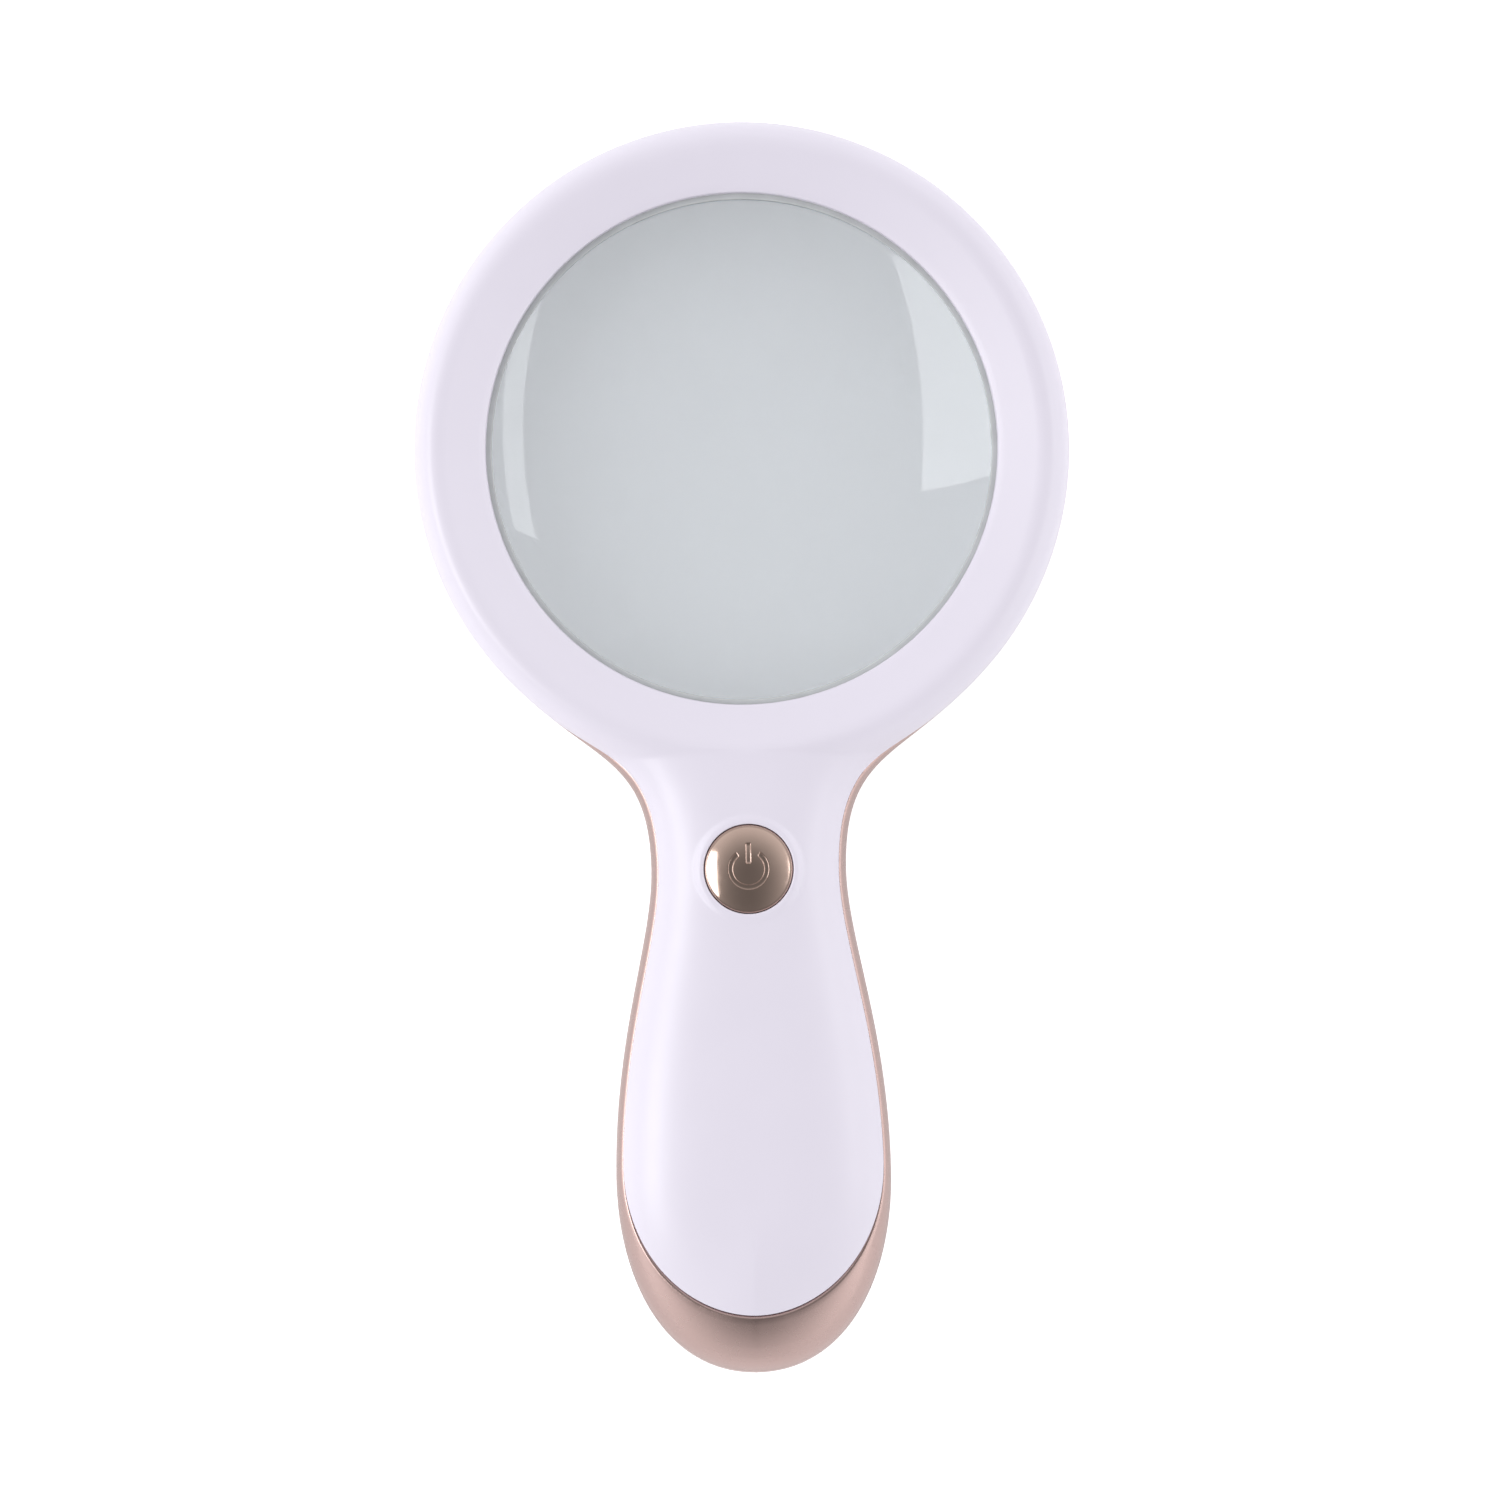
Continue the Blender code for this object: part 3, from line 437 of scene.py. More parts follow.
def outline(counts):
    tip_n, side_n, fillet_n, lower_n, upper_n = counts
    tip, belly = Vector((0, TIP_Y)), Vector((BELLY_HALF, BELLY_Y))
    neck, shoulder = Vector((NECK_HALF, NECK_Y)), on_head(HEAD_R, FILLET_ANGLE)
    tangent = Vector((-math.sin(FILLET_ANGLE), math.cos(FILLET_ANGLE)))
    up, right = Vector((0, 1)), Vector((1, 0))
    points = [tip]
    points += bezier(tip, tip + right * TIP_PULL[0], belly - up * TIP_PULL[1], belly, tip_n)
    points += bezier(belly, belly + up * SIDE_PULL[0], neck - up * SIDE_PULL[1], neck, side_n)
    from_neck, to_shoulder = neck + up * FILLET_PULL[0], shoulder - tangent * FILLET_PULL[1]
    points += bezier(neck, from_neck, to_shoulder, shoulder, fillet_n)
    points += [on_head(HEAD_R, angle) for angle in between(FILLET_ANGLE, 0, lower_n)]
    points += [on_head(HEAD_R, angle) for angle in between(0, math.pi / 2, upper_n)]
    return [snapped(point) for point in points]


def inner_line(counts, radius):
    """From the crest's end up the centre line, then round the head at the given radius."""
    tip_n, side_n, fillet_n, lower_n, upper_n = counts
    half = fillet_n // 2
    centre = [CREST_END_Y] + between(CREST_END_Y, BELLY_RISE_Y, tip_n)
    centre += between(BELLY_RISE_Y, NECK_Y, side_n)
    centre += between(NECK_Y, HEAD_Y - radius, half)
    shoulder = FILLET_ANGLE - math.radians(6)
    angles = between(-math.pi / 2, shoulder, fillet_n - half)
    angles += between(shoulder, 0, lower_n) + between(0, math.pi / 2, upper_n)
    return [Vector((0, y)) for y in centre] + [snapped(on_head(radius, angle)) for angle in angles]


def smooth_step(value):
    value = min(max(value, 0.0), 1.0)
    return value * value * (3 - 2 * value)


def parting_point(index, points):
    """Where the front plate's edge lies on this station, in plan."""
    here = points[index]
    if index == 0 or here.y < PLATE_Y:
        turns = [math.pi / 2 * step / PLATE_STEPS for step in range(PLATE_STEPS + 1)]
        edge = [Vector((PLATE_HALF * math.sin(a), PLATE_Y - PLATE_LENGTH * math.cos(a))) for a in turns]
        return min(edge, key=lambda point: (point - here).length)
    if here.y >= STRIP_START_Y:
        return here.copy()
    along = points[index + 1] - points[index - 1]
    inward = Vector((-along.y, along.x)).normalized()
    share = smooth_step((STRIP_START_Y - here.y) / (STRIP_START_Y - STRIP_FULL_Y))
    return here + inward * STRIP * share**2  # squared, so that the line's height starts to climb gently


def crest_height(y):
    return RIDGE_Z + BELLY_RISE * math.exp(-(((y - BELLY_RISE_Y) / BELLY_RISE_WIDTH) ** 2))


def along_path(path, share):
    """The point at this share of a path's length."""
    lengths = [(b - a).length for a, b in zip(path, path[1:])]
    left = share * sum(lengths)
    for start, end, length in zip(path, path[1:], lengths):
        if left <= length and length > 0:
            return start.lerp(end, left / length)
        left -= length
    return path[-1].copy()


class Form:
    """The outer form on a given number of stations: position(i, angle) is a point of station i.

    An angle runs from -90 degrees, the back, through 0, the widest outline, to 90 degrees, the crest.
    """

    def __init__(self, counts):
        self.counts = counts
        self.outer = outline(counts)
        self.crest = inner_line(counts, RIDGE_R)
        self.back = inner_line(counts, REAR_HOLE_R)
        self.first_ring = counts[0] + counts[1] + counts[2] // 2
        self.parting = [parting_point(i, self.outer) for i in range(len(self.outer))]
        self.parting_angle = [self.angle_of_parting(i) for i in range(len(self.outer))]

    def front_path(self, index):
        return [self.outer[index], self.parting[index], self.crest[index]]

    def angle_of_parting(self, index):
        outer, parting, crest = self.front_path(index)
        share = (parting - outer).length / ((parting - outer).length + (crest - parting).length)
        return math.acos((1 - share) ** (self.power(index) / 2))

    def position(self, index, angle):
        if angle >= 0:
            share = 1 - math.cos(angle) ** (2 / self.power(index))
            place = along_path(self.front_path(index), share)
            rise = math.sin(angle) ** (2 / self.power(index))
            height = SEAM_Z + (crest_height(self.crest[index].y) - SEAM_Z) * rise
            if index >= self.first_ring:
                height = SEAM_Z + (RIDGE_Z - SEAM_Z) * rise
        else:
            share = (1 - math.cos(angle) ** (2 / REAR_POWER)) * self.rounding(index)
            place = self.outer[index].lerp(self.back[index], share)
            height = SEAM_Z * (1 - math.sin(-angle) ** (2 / REAR_POWER))
        return Vector((place.x, place.y, height))

    def power(self, index):
        """The front section's power here."""
        share = smooth_step((self.outer[index].y - TIP_Y) / (BELLY_Y - TIP_Y))
        return TIP_POWER + (FRONT_POWER - TIP_POWER) * share

    def rounding(self, index):
        """The share of the station that the back rounds over."""
        start = self.counts[0] + self.counts[1]
        ring = smooth_step((index - start) / (self.first_ring - start))
        return HANDLE_ROUND + (RING_ROUND - HANDLE_ROUND) * ring


FORM = Form((36, 34, 40, 20, 54))
FRONT_ROWS, BAND_ROWS, UPPER_ROWS, REAR_ROWS = 24, 6, 4, 14


def front_grid():
    rows = []
    for i in range(len(FORM.outer)):
        first = FORM.parting_angle[i] + PARTING_ANGLE
        angles = [first, first + EDGE_ANGLE] + between(first + EDGE_ANGLE, math.pi / 2, FRONT_ROWS)
        row = [FORM.position(i, angle) for angle in angles]
        if i >= FORM.first_ring:
            out = (FORM.crest[i] - Vector((0, HEAD_Y))).normalized()
            band = [(RIDGE_R + (HOLE_R - RIDGE_R) * share, RIDGE_Z + (HOLE_Z - RIDGE_Z) * share)
                    for share in between(0, 1, BAND_ROWS)]
            for radius, height in band + [(HOLE_R, LIP_Z)]:
                place = snapped(Vector((0, HEAD_Y)) + out * radius)
                row.append(Vector((place.x, place.y, height)))
        rows.append(row)
    return rows


def rim(edge, inside, ahead, out):
    """The curl of the rear skin square to the parting line, from its end out to the plain surface."""
    along = inside - edge
    along = (along - ahead * along.dot(ahead)).normalized()
    up = ahead.cross(along)
    if up.dot(out) < 0:
        up = -up
    centre = edge + (along - up) * RIM_ROUND
    turns = [math.radians(deg) for deg in (80, 64, 48, 32, 16, 0)]
    return [centre + (up * math.cos(turn) - along * math.sin(turn)) * RIM_ROUND for turn in turns]


def rear_grid():
    rows = []
    edges = [FORM.position(i, angle - PARTING_ANGLE) for i, angle in enumerate(FORM.parting_angle)]
    for i, edge in enumerate(edges):
        middle = i in (0, len(edges) - 1)
        ahead = Vector((1, 0, 0)) if middle else (edges[i + 1] - edges[i - 1]).normalized()
        inside = FORM.parting_angle[i] - PARTING_ANGLE - RIM_ANGLE
        turning = min(0.0, inside - UPPER_ANGLE)
        angles = [inside] + between(inside, turning, UPPER_ROWS) + between(turning, -math.pi / 2, REAR_ROWS)
        row = [FORM.position(i, angle) for angle in angles]
        out = (FORM.outer[i] - FORM.crest[i]).normalized().to_3d()
        row = rim(edge, row[0], ahead, out) + row
        row.append(Vector((FORM.back[i].x, FORM.back[i].y, 0.0)))
        rows.append(row)
    return rows


def skin(grid, flip):
    """A surface over a grid of points, one row of it per station, and its mirror image across X = 0."""
    shape = bmesh.new()
    made = {}

    def corner(point, side):
        spot = Vector((side * point.x, point.y, point.z))
        key = tuple(round(value / MERGE) for value in spot)
        if key not in made:
            made[key] = shape.verts.new(spot)
        return made[key]

    for side in (1, -1):
        for near, far in zip(grid, grid[1:]):
            for k in range(min(len(near), len(far)) - 1):
                points = [near[k], far[k], far[k + 1], near[k + 1]]
                corners = list(dict.fromkeys(corner(point, side) for point in points))
                if len(corners) > 2:
                    shape.faces.new(reversed(corners) if flip == (side > 0) else corners)
    return shape


def walled(piece):
    wall = piece.modifiers.new("wall", "SOLIDIFY")
    wall.thickness = WALL
    wall.offset = -1
    wall.use_even_offset = True
    applied(piece)


def both_sides(places):
    for x, y in places:
        for side in (-1, 1):
            yield (side * x, y)


# --- front shell ---


def collar_profile():
    """(radius, how far the surface is the collar's and not the handle's) from the outside in."""
    foot = between(COLLAR_FOOT_R + COLLAR_MARGIN, COLLAR_FOOT_R, 3)
    slope = between(COLLAR_FOOT_R, COLLAR_TOP_R, 8)
    top = between(COLLAR_TOP_R, BUTTON_HOLE_R, 2)
    profile = [(radius, 0.0) for radius in foot]
    profile += [(r, smooth_step((COLLAR_FOOT_R - r) / (COLLAR_FOOT_R - COLLAR_TOP_R))) for r in slope]
    return profile + [(radius, 1.0) for radius in top]


def add_collar(shape, sides=128):
    """Cuts the skin away round the button, and joins rings to it that rise to the collar."""
    centre = Vector((0, BUTTON_Y))

    def away(vert):
        return (vert.co.xy - centre).length

    tree = BVHTree.FromBMesh(shape)
    near = [face for face in shape.faces if any(away(vert) < PATCH_R for vert in face.verts)]
    bmesh.ops.delete(shape, geom=near, context="FACES")
    ragged = [
        edge
        for edge in shape.edges
        if edge.is_boundary and all(away(vert) < PATCH_R + PATCH_REACH for vert in edge.verts)
    ]
    rings = []
    for radius, share in collar_profile():
        ring = []
        for step in range(sides):
            angle = math.tau * step / sides
            place = centre + Vector((math.cos(angle), math.sin(angle))) * radius
            crown = tree.ray_cast(Vector((*place, 1.0)), Vector((0, 0, -1)))[0].z
            ring.append(shape.verts.new((*place, crown + (COLLAR_Z - crown) * share)))
        rings.append(ring)
    rings.append([shape.verts.new((*vert.co.xy, COLLAR_WALL_Z)) for vert in rings[-1]])
    for outside, inside in zip(rings, rings[1:]):
        for step in range(sides):
            after = (step + 1) % sides
            shape.faces.new((outside[step], outside[after], inside[after], inside[step]))
    rim = [shape.edges.get((rings[0][step], rings[0][(step + 1) % sides])) for step in range(sides)]
    joined = bmesh.ops.bridge_loops(shape, edges=ragged + rim)["faces"]
    bmesh.ops.triangulate(shape, faces=joined)
    shape.normal_update()
    for face in shape.faces:
        if face.normal.z < 0 and away(face.verts[0]) < PATCH_R + PATCH_REACH:
            face.normal_flip()


def front_shell():
    shape = skin(front_grid(), False)
    add_collar(shape)
    shell = new_object("front_cover", shape)
    walled(shell)
    bevel(shell, EDGE_ROUND)
    tree = BVHTree.FromObject(shell, bpy.context.evaluated_depsgraph_get())
    for place in both_sides(SCREW_PLACES):
        outer_side = (place[0] + math.copysign(FRONT_BOSS_R, place[0]), place[1])
        top = tree.ray_cast(Vector((*outer_side, 1.0)), Vector((0, 0, -1)))[0].z - WALL / 4
        combine(shell, cylinder("boss", FRONT_BOSS_R, BOSS_JOIN_Z + GAP, top, place), "UNION")
        drill(shell, SCREW_R + GAP, *FRONT_DRILL_Z, place, 24)
    smooth(shell)
    shown(shell, "white_shell", "front_shell")


# --- rear shell and battery door ---


def rear_skin(name):
    piece = new_object(name, skin(rear_grid(), True))
    walled(piece)
    return piece


def door_prism(margin):
    low = (-DOOR_HALF - margin, TIP_Y - 4 * CUT_PAST, -2 * CUT_PAST)
    return box("door_limits", low, (DOOR_HALF + margin, DOOR_TOP_Y + margin, DOOR_Z + margin))


def rear_shell():
    shell = rear_skin("rear_cover")
    cut(shell, door_prism(GAP))
    for place in both_sides(SCREW_PLACES):
        combine(shell, cylinder("boss", REAR_BOSS_R, REAR_BOSS_Z, BOSS_JOIN_Z, place), "UNION")
        drill(shell, HEAD_BORE_R, -CUT_PAST, HEAD_SEAT_Z, place)
        drill(shell, SCREW_R + GAP, -CUT_PAST, REAR_DRILL_TOP_Z, place, 24)
    smooth(shell)
    shown(shell, "rose_coating", "rear_shell")


def battery_door():
    door = rear_skin("battery_cover")
    combine(door, door_prism(0.0), "INTERSECT")
    for row in range(GRIP_COUNT):
        y = GRIP_TOP_Y - GRIP_STEP * row
        groove = box("groove", (-GRIP_HALF, y, -MM), (GRIP_HALF, y + GRIP_WIDTH, GRIP_DEPTH))
        cut(door, groove)
    smooth(door)
    shown(door, "rose_coating", "battery_door", body="door")


# --- lens and its seat ---


def lens_height(radius, side):
    """The height of the lens surface: side 1 is its front, -1 its back."""
    rim = LENS_RIM_Z[1] if side > 0 else LENS_RIM_Z[0]
    sphere = (LENS_R**2 + LENS_RISE**2) / (2 * LENS_RISE)
    return rim + side * (math.sqrt(sphere**2 - radius**2) - (sphere - LENS_RISE))


def lens_parts():
    place = (0.0, HEAD_Y)
    shares = [step / 28 for step in range(29)]
    front = [(LENS_R * share, lens_height(LENS_R * share, 1)) for share in shares]
    back = [(LENS_R * share, lens_height(LENS_R * share, -1)) for share in reversed(shares)]
    shown(turned("magnifying_lens", front + back, place, closed=False), "lens_glass", "lens")
    top, outer_foot, inner_foot = LIP_Z - GAP, lens_height(SEAL_R, 1) + GAP, lens_height(SEAT_R, 1) + GAP
    seat = [(SEAL_R, top), (SEAL_R, outer_foot), (SEAT_R, inner_foot), (SEAT_R, top)]
    gasket = turned("lens_seal", rounded(seat, SEAL_EDGE, 4), place)
    shown(gasket, "gasket_rubber", "lens_gasket")
    ring = rounded(band(RETAINER_R, RETAINER_Z), RETAINER_EDGE)
    retainer = turned("retaining_ring", ring, place)
    shown(retainer, "inner_white", "lens_retainer")


def light_ring():
    (inner, outer), (low, high), top = SLEEVE_R, WINDOW_Z, SLEEVE_TOP_Z
    ring = [(outer, top), (outer, high), (WINDOW_R, high), (WINDOW_R, low), (inner, low), (inner, top)]
    window = turned("light_window", rounded(ring, WINDOW_EDGE), (0.0, HEAD_Y))
    shown(window, "frosted_plastic", "light_ring")


# --- power button ---


def dome_height(radius):
    return BUTTON_TOP_Z - radius**2 / (2 * BUTTON_DOME_R)


def arc_cutter(low, high, steps=72):
    """An open circle, as a band between two levels that follows the dome."""
    shape = bmesh.new()
    start, sweep = math.pi / 2 + SYMBOL_GAP, math.tau - 2 * SYMBOL_GAP
    rings = []
    for step in range(steps + 1):
        angle = start + sweep * step / steps
        ray = Vector((math.cos(angle), math.sin(angle), 0))
        radii = (SYMBOL_R - SYMBOL_LINE / 2, SYMBOL_R + SYMBOL_LINE / 2)
        corners = [ray * radius + Vector((0, BUTTON_Y, z)) for radius in radii for z in (low, high)]
        rings.append([shape.verts.new(corner) for corner in corners])
    for near, far in zip(rings, rings[1:]):
        for a, b in ((0, 1), (1, 3), (3, 2), (2, 0)):
            shape.faces.new((near[a], near[b], far[b], far[a]))
    for end in (rings[0], rings[-1]):
        shape.faces.new((end[0], end[1], end[3], end[2]))
    bmesh.ops.recalc_face_normals(shape, faces=shape.faces)
    return new_object("symbol_arc", shape)


def bar_cutter(high, steps=8):
    """A bar whose underside follows the dome."""
    shape = bmesh.new()
    rings = []
    for y in [SYMBOL_BAR_Y[0]] + between(*SYMBOL_BAR_Y, steps):
        low = dome_height(y) - SYMBOL_DEPTH
        sides = [(side * SYMBOL_LINE / 2, z) for side, z in ((-1, low), (1, low), (1, high), (-1, high))]
        rings.append([shape.verts.new((x, BUTTON_Y + y, z)) for x, z in sides])
    join_rings(shape, rings)
    return new_object("symbol_bar", shape)


def power_button():
    rise = [(BUTTON_R - BUTTON_ROUND) * step / 30 for step in range(31)]
    edge = dome_height(BUTTON_R - BUTTON_ROUND)
    curl = []
    for angle in between(0, math.pi / 2, 6):
        radius = BUTTON_R - BUTTON_ROUND * (1 - math.sin(angle))
        curl.append((radius, edge - BUTTON_ROUND * (1 - math.cos(angle))))
    (inner, outer), (low, high), under = FLANGE_R, FLANGE_Z, BUTTON_UNDER_Z
    foot = [(BUTTON_R, high), (outer, high), (outer, low), (inner, low), (inner, under), (0.0, under)]
    profile = [(radius, dome_height(radius)) for radius in rise] + curl + foot
    button = turned("power_key", profile, (0.0, BUTTON_Y), 128, closed=False)
    cut(button, arc_cutter(dome_height(SYMBOL_R) - SYMBOL_DEPTH, BUTTON_TOP_Z + MM))
    cut(button, bar_cutter(BUTTON_TOP_Z + MM))
    bevel(button, SYMBOL_EDGE, degrees=60, segments=2)
    smooth(button, 40)
    shown(button, "button_coating", "power_button", body="button")


# --- LEDs, switch, cells and wires ---


def led_parts():
    ring = rounded(band(BOARD_R, BOARD_Z), BOARD_EDGE)
    circuit = turned("led_circuit", ring, (0.0, HEAD_Y))
    shown(circuit, "board", "led_board")
    case = boxes("led_case", [(-LED_SIZE / 2, LED_SIZE / 2)], SHEET_EDGE)
    foot = -LED_SIZE.z / 2
    sunk = foot + LED_EYE_DEPTH
    drill(case, LED_EYE_R + LED_EYE_ROOM, foot - MM, sunk, (0, 0), 32)
    smooth(case)
    dome = [(0.0, sunk), (LED_EYE_R, sunk), (LED_EYE_R, foot + LED_EYE_DEPTH / 2)]
    dome += [(LED_EYE_R * share, foot + LED_EYE_DEPTH * share**2 / 2) for share in (0.75, 0.5, 0.25, 0.0)]
    lens = turned("led_eye", dome, (0, 0), 32, closed=False)
    chip = boxes("chip", [(-CHIP_SIZE / 2, CHIP_SIZE / 2)], CHIP_EDGE)
    for number in range(LED_COUNT):
        angle = math.tau * (number + 0.5) / LED_COUNT
        spot = (*on_head(LED_CIRCLE_R, angle), BOARD_Z[0] - GAP - LED_SIZE.z / 2)
        name = f"led_{number + 1:02d}"
        shown(copied(lens, name + "_phosphor", spot, angle), "led_phosphor", name)
        shown(copied(case, name + "_case", spot, angle), "inner_white")
        angle = math.tau * number / LED_COUNT
        spot = (*on_head(LED_CIRCLE_R, angle), BOARD_Z[0] - CHIP_SIZE.z / 2)
        shown(copied(chip, f"resistor_{number + 1:02d}", spot, angle), "black_plastic")
    for template in (case, lens, chip):
        bpy.data.objects.remove(template)


def switch_parts():
    place = (0.0, BUTTON_Y)
    low, high = HOUSING_Z
    half = HOUSING_HALF
    limits = [((-half, BUTTON_Y - half, low), (half, BUTTON_Y + half, high))]
    case = boxes("switch_case", limits, HOUSING_EDGE)
    drill(case, STEM_R + GAP, *STEM_BORE_Z, place)
    for x in (-RIVET_AWAY, RIVET_AWAY):
        for y in (-RIVET_AWAY, RIVET_AWAY):
            drill(case, RIVET_R, high - RIVET_DEPTH, high + MM, (x, BUTTON_Y + y), 24)
    bevel(case, HOLE_EDGE, 60, 1)
    smooth(case)
    shown(case, "black_plastic", "switch_housing")
    foot, top = STEM_Z
    thin = STEM_R - STEM_EDGE
    stem = [(0.0, top), (thin, top), (STEM_R, top - STEM_EDGE), (STEM_R, foot + STEM_EDGE)]
    stem += [(thin, foot), (0.0, foot)]
    stem = turned("switch_plunger", stem, place, 64, closed=False)
    shown(stem, "black_plastic", "switch_stem", body="stem")
    spring = coil("plunger_spring", place, *SPRING_Z, (SPRING_R, SPRING_R), SPRING_WIRE, SPRING_TURNS)
    shown(spring, "spring_steel", "switch_spring")
    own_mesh(spring)
    half_x, half_y = SWITCH_BOARD_HALF
    foot, top = SWITCH_BOARD_Z
    limits = [((-half_x, SWITCH_BOARD_Y - half_y, foot), (half_x, SWITCH_BOARD_Y + half_y, top))]
    plate = boxes("switch_circuit", limits, SHEET_EDGE)
    for x in (-BOARD_HOLE_X, BOARD_HOLE_X):
        drill(plate, BOARD_HOLE_R, foot - MM, top + MM, (x, BOARD_HOLE_Y), 32)
    smooth(plate)
    shown(plate, "board", "switch_board")
    limits = []
    for x, y, width, depth, height in SWITCH_CHIPS:
        far = ((x + width) * MM, (y + depth) * MM, top + height * MM)
        limits.append(((x * MM, y * MM, top), far))
    shown(boxes("circuit_chips", limits, SWITCH_CHIP_EDGE), "black_plastic")


def cell(number, x, negative_y, heading):
    """A metal can with a raised nub, in a printed sleeve that folds over its ends."""

    def placed(part, profile, closed=True):
        piece = turned(f"cell_{number}_{part}", profile, (0, 0), 96, closed=closed)
        return laid_down(piece, (x, negative_y, CELL_Z), heading)

    shoulder = CELL_LENGTH - NUB
    can = [
        (NUB_R, CELL_LENGTH),
        (NUB_R + NUB_TAPER, shoulder),
        (CAN_R, shoulder),
        (CAN_R, SLEEVE_WALL / 2),
        (NEGATIVE_R, SLEEVE_WALL / 2),
    ]
    can = [(0.0, CELL_LENGTH)] + rounded(can, CAN_EDGE, 3, closed=False)
    can += [(NEGATIVE_R, NEGATIVE_DEPTH), (0.0, NEGATIVE_DEPTH)]
    shown(placed("can", can, closed=False), "contact_metal")
    fold_r, top = CELL_R - FOLD, shoulder + 0.4 * SLEEVE_WALL
    inside_r, inside_top = CELL_R - SLEEVE_WALL, top - SLEEVE_WALL
    outside = [(fold_r, top), (CELL_R, top), (CELL_R, 0.0), (fold_r, 0.0)]
    sleeve = rounded(outside, SLEEVE_EDGE, 4, closed=False)
    sleeve += [(fold_r, SLEEVE_WALL), (inside_r, SLEEVE_WALL), (inside_r, inside_top), (fold_r, inside_top)]
    shown(placed("sleeve", sleeve), "cell_case", f"cell_{number}")
    stripe = band([CELL_R + height for height in BAND_HEIGHT], [shoulder - away for away in BAND])
    shown(placed("band", stripe), "contact_metal")


def battery_parts():
    low = Vector((-TRAY_HALF, TRAY_Y[0], TRAY_Z[0]))
    high = Vector((TRAY_HALF, TRAY_Y[1], TRAY_Z[1]))
    tray = box("cell_tray", low, high)
    hollow_low = low + Vector((TRAY_WALL, TRAY_WALL, -CUT_PAST))
    cut(tray, box("hollow", hollow_low, high - Vector((TRAY_WALL,) * 3)))
    for y in RIB_YS:
        rib = box("rib", (-RIB_HALF, y, RIB_Z[0]), (RIB_HALF, y + RIB_WIDTH, RIB_Z[1]))
        combine(tray, rib, "UNION")
    bevel(tray, TRAY_EDGE, segments=2)
    smooth(tray)
    shown(tray, "inner_white", "battery_tray")
    foot, top = CELL_Z - CONTACT_HALF, CELL_Z + CONTACT_HALF
    reach = CELL_X + CONTACT_HALF
    first_end, second_end = CONTACT_TOP_Y - PLATE_THICK, CONTACT_FOOT_Y + PLATE_THICK
    for name, node, left, right, y in (
        ("plus_plate", "contact_positive", -reach, CONTACT_HALF - CELL_X, first_end),
        ("minus_plate", "contact_negative", CELL_X - CONTACT_HALF, reach, first_end),
        ("bridge_plate", "contact_bridge", -reach, reach, CONTACT_FOOT_Y),
    ):
        plate = boxes(name, [((left, y, foot), (right, y + PLATE_THICK, top))], SHEET_EDGE)
        shown(plate, "contact_metal", node)
    cell(1, -CELL_X, first_end - GAP - CELL_LENGTH, 1)
    cell(2, CELL_X, second_end + GAP + CELL_LENGTH, -1)
    length = first_end - second_end - CELL_LENGTH - 3 * GAP
    for number, x, y, heading in ((1, -CELL_X, second_end + GAP, 1), (2, CELL_X, first_end - GAP, -1)):
        size = (0.0, length, CELL_SPRING_R, CELL_SPRING_WIRE, CELL_SPRING_TURNS)
        spring = laid_down(coil(f"cell_spring_{number}", (0, 0), *size), (x, y, CELL_Z), heading)
        shown(spring, "spring_steel", f"battery_spring_{number}")


def add_thread(shape):
    """A ridge wound round the screw's core."""
    low, high = THREAD_Z
    sunk = SCREW_CORE_R - THREAD_SUNK
    rings = []
    for step in range(int((high - low) / THREAD_PITCH * THREAD_SIDES) + 1):
        turn = step / THREAD_SIDES
        crest = SCREW_CORE_R + (SCREW_R - SCREW_CORE_R) * min(turn, 1.0)
        ring = []
        for radius, height in ((sunk, -THREAD_HALF), (crest, 0.0), (sunk, THREAD_HALF)):
            x, y = polar(radius, math.tau * turn)
            ring.append(shape.verts.new((x, y, low + THREAD_PITCH * turn + height)))
        rings.append(ring)
    join_rings(shape, rings)


def screw_parts():
    crown, shoulder, seat = SCREW_HEAD_Z
    inner, outer = SCREW_HEAD_R
    shaft = [(0.0, SCREW_TIP_Z), (SCREW_TIP_R, SCREW_TIP_Z), (SCREW_CORE_R, THREAD_Z[1])]
    head = [(SCREW_CORE_R, seat), (outer, seat), (outer, shoulder), (inner, crown), (0.0, crown)]
    profile = shaft + rounded(head, HEAD_EDGE, 3, closed=False)
    template = turned("screw", profile, (0, 0), 48, closed=False)
    centre = Vector((0, 0, crown))
    for half in (SLOT_HALF, SLOT_HALF.yxz):
        cut(template, box("cross", centre - half, centre + half))
    bevel(template, SLOT_EDGE, 60, 2)
    shape = bmesh.new()
    shape.from_mesh(template.data)
    add_thread(shape)
    shape.to_mesh(template.data)
    shape.free()
    smooth(template, 30)
    for number, (place, turn) in enumerate(zip(both_sides(SCREW_PLACES), SCREW_TURNS)):
        made = copied(template, f"screw_{number + 1}", (*place, 0.0), turn)
        shown(made, "screw_steel", f"case_screw_{number + 1}")
    bpy.data.objects.remove(template)


def wire_parts():
    for kind, x, route in (("led", LED_WIRE_X, LED_ROUTE), ("battery", BATTERY_WIRE_X, CELL_ROUTE)):
        for side, tag in ((-1, "red"), (1, "black")):
            path = through([(side * x, y * MM, z * MM) for y, z in route])
            wire = swept(f"{kind}_lead_{tag}", path, WIRE_R, 14)
            shown(wire, "wire_" + tag, f"{kind}_wire_{tag}")


# --- materials ---


def map_range(tree, value, *limits):
    """A Map Range node: its limits are from min, from max, to min, to max."""
    made = tree.nodes.new("ShaderNodeMapRange")
    tree.links.new(value, made.inputs["Value"])
    for socket, number in zip(("From Min", "From Max", "To Min", "To Max"), limits):
        made.inputs[socket].default_value = number
    return made


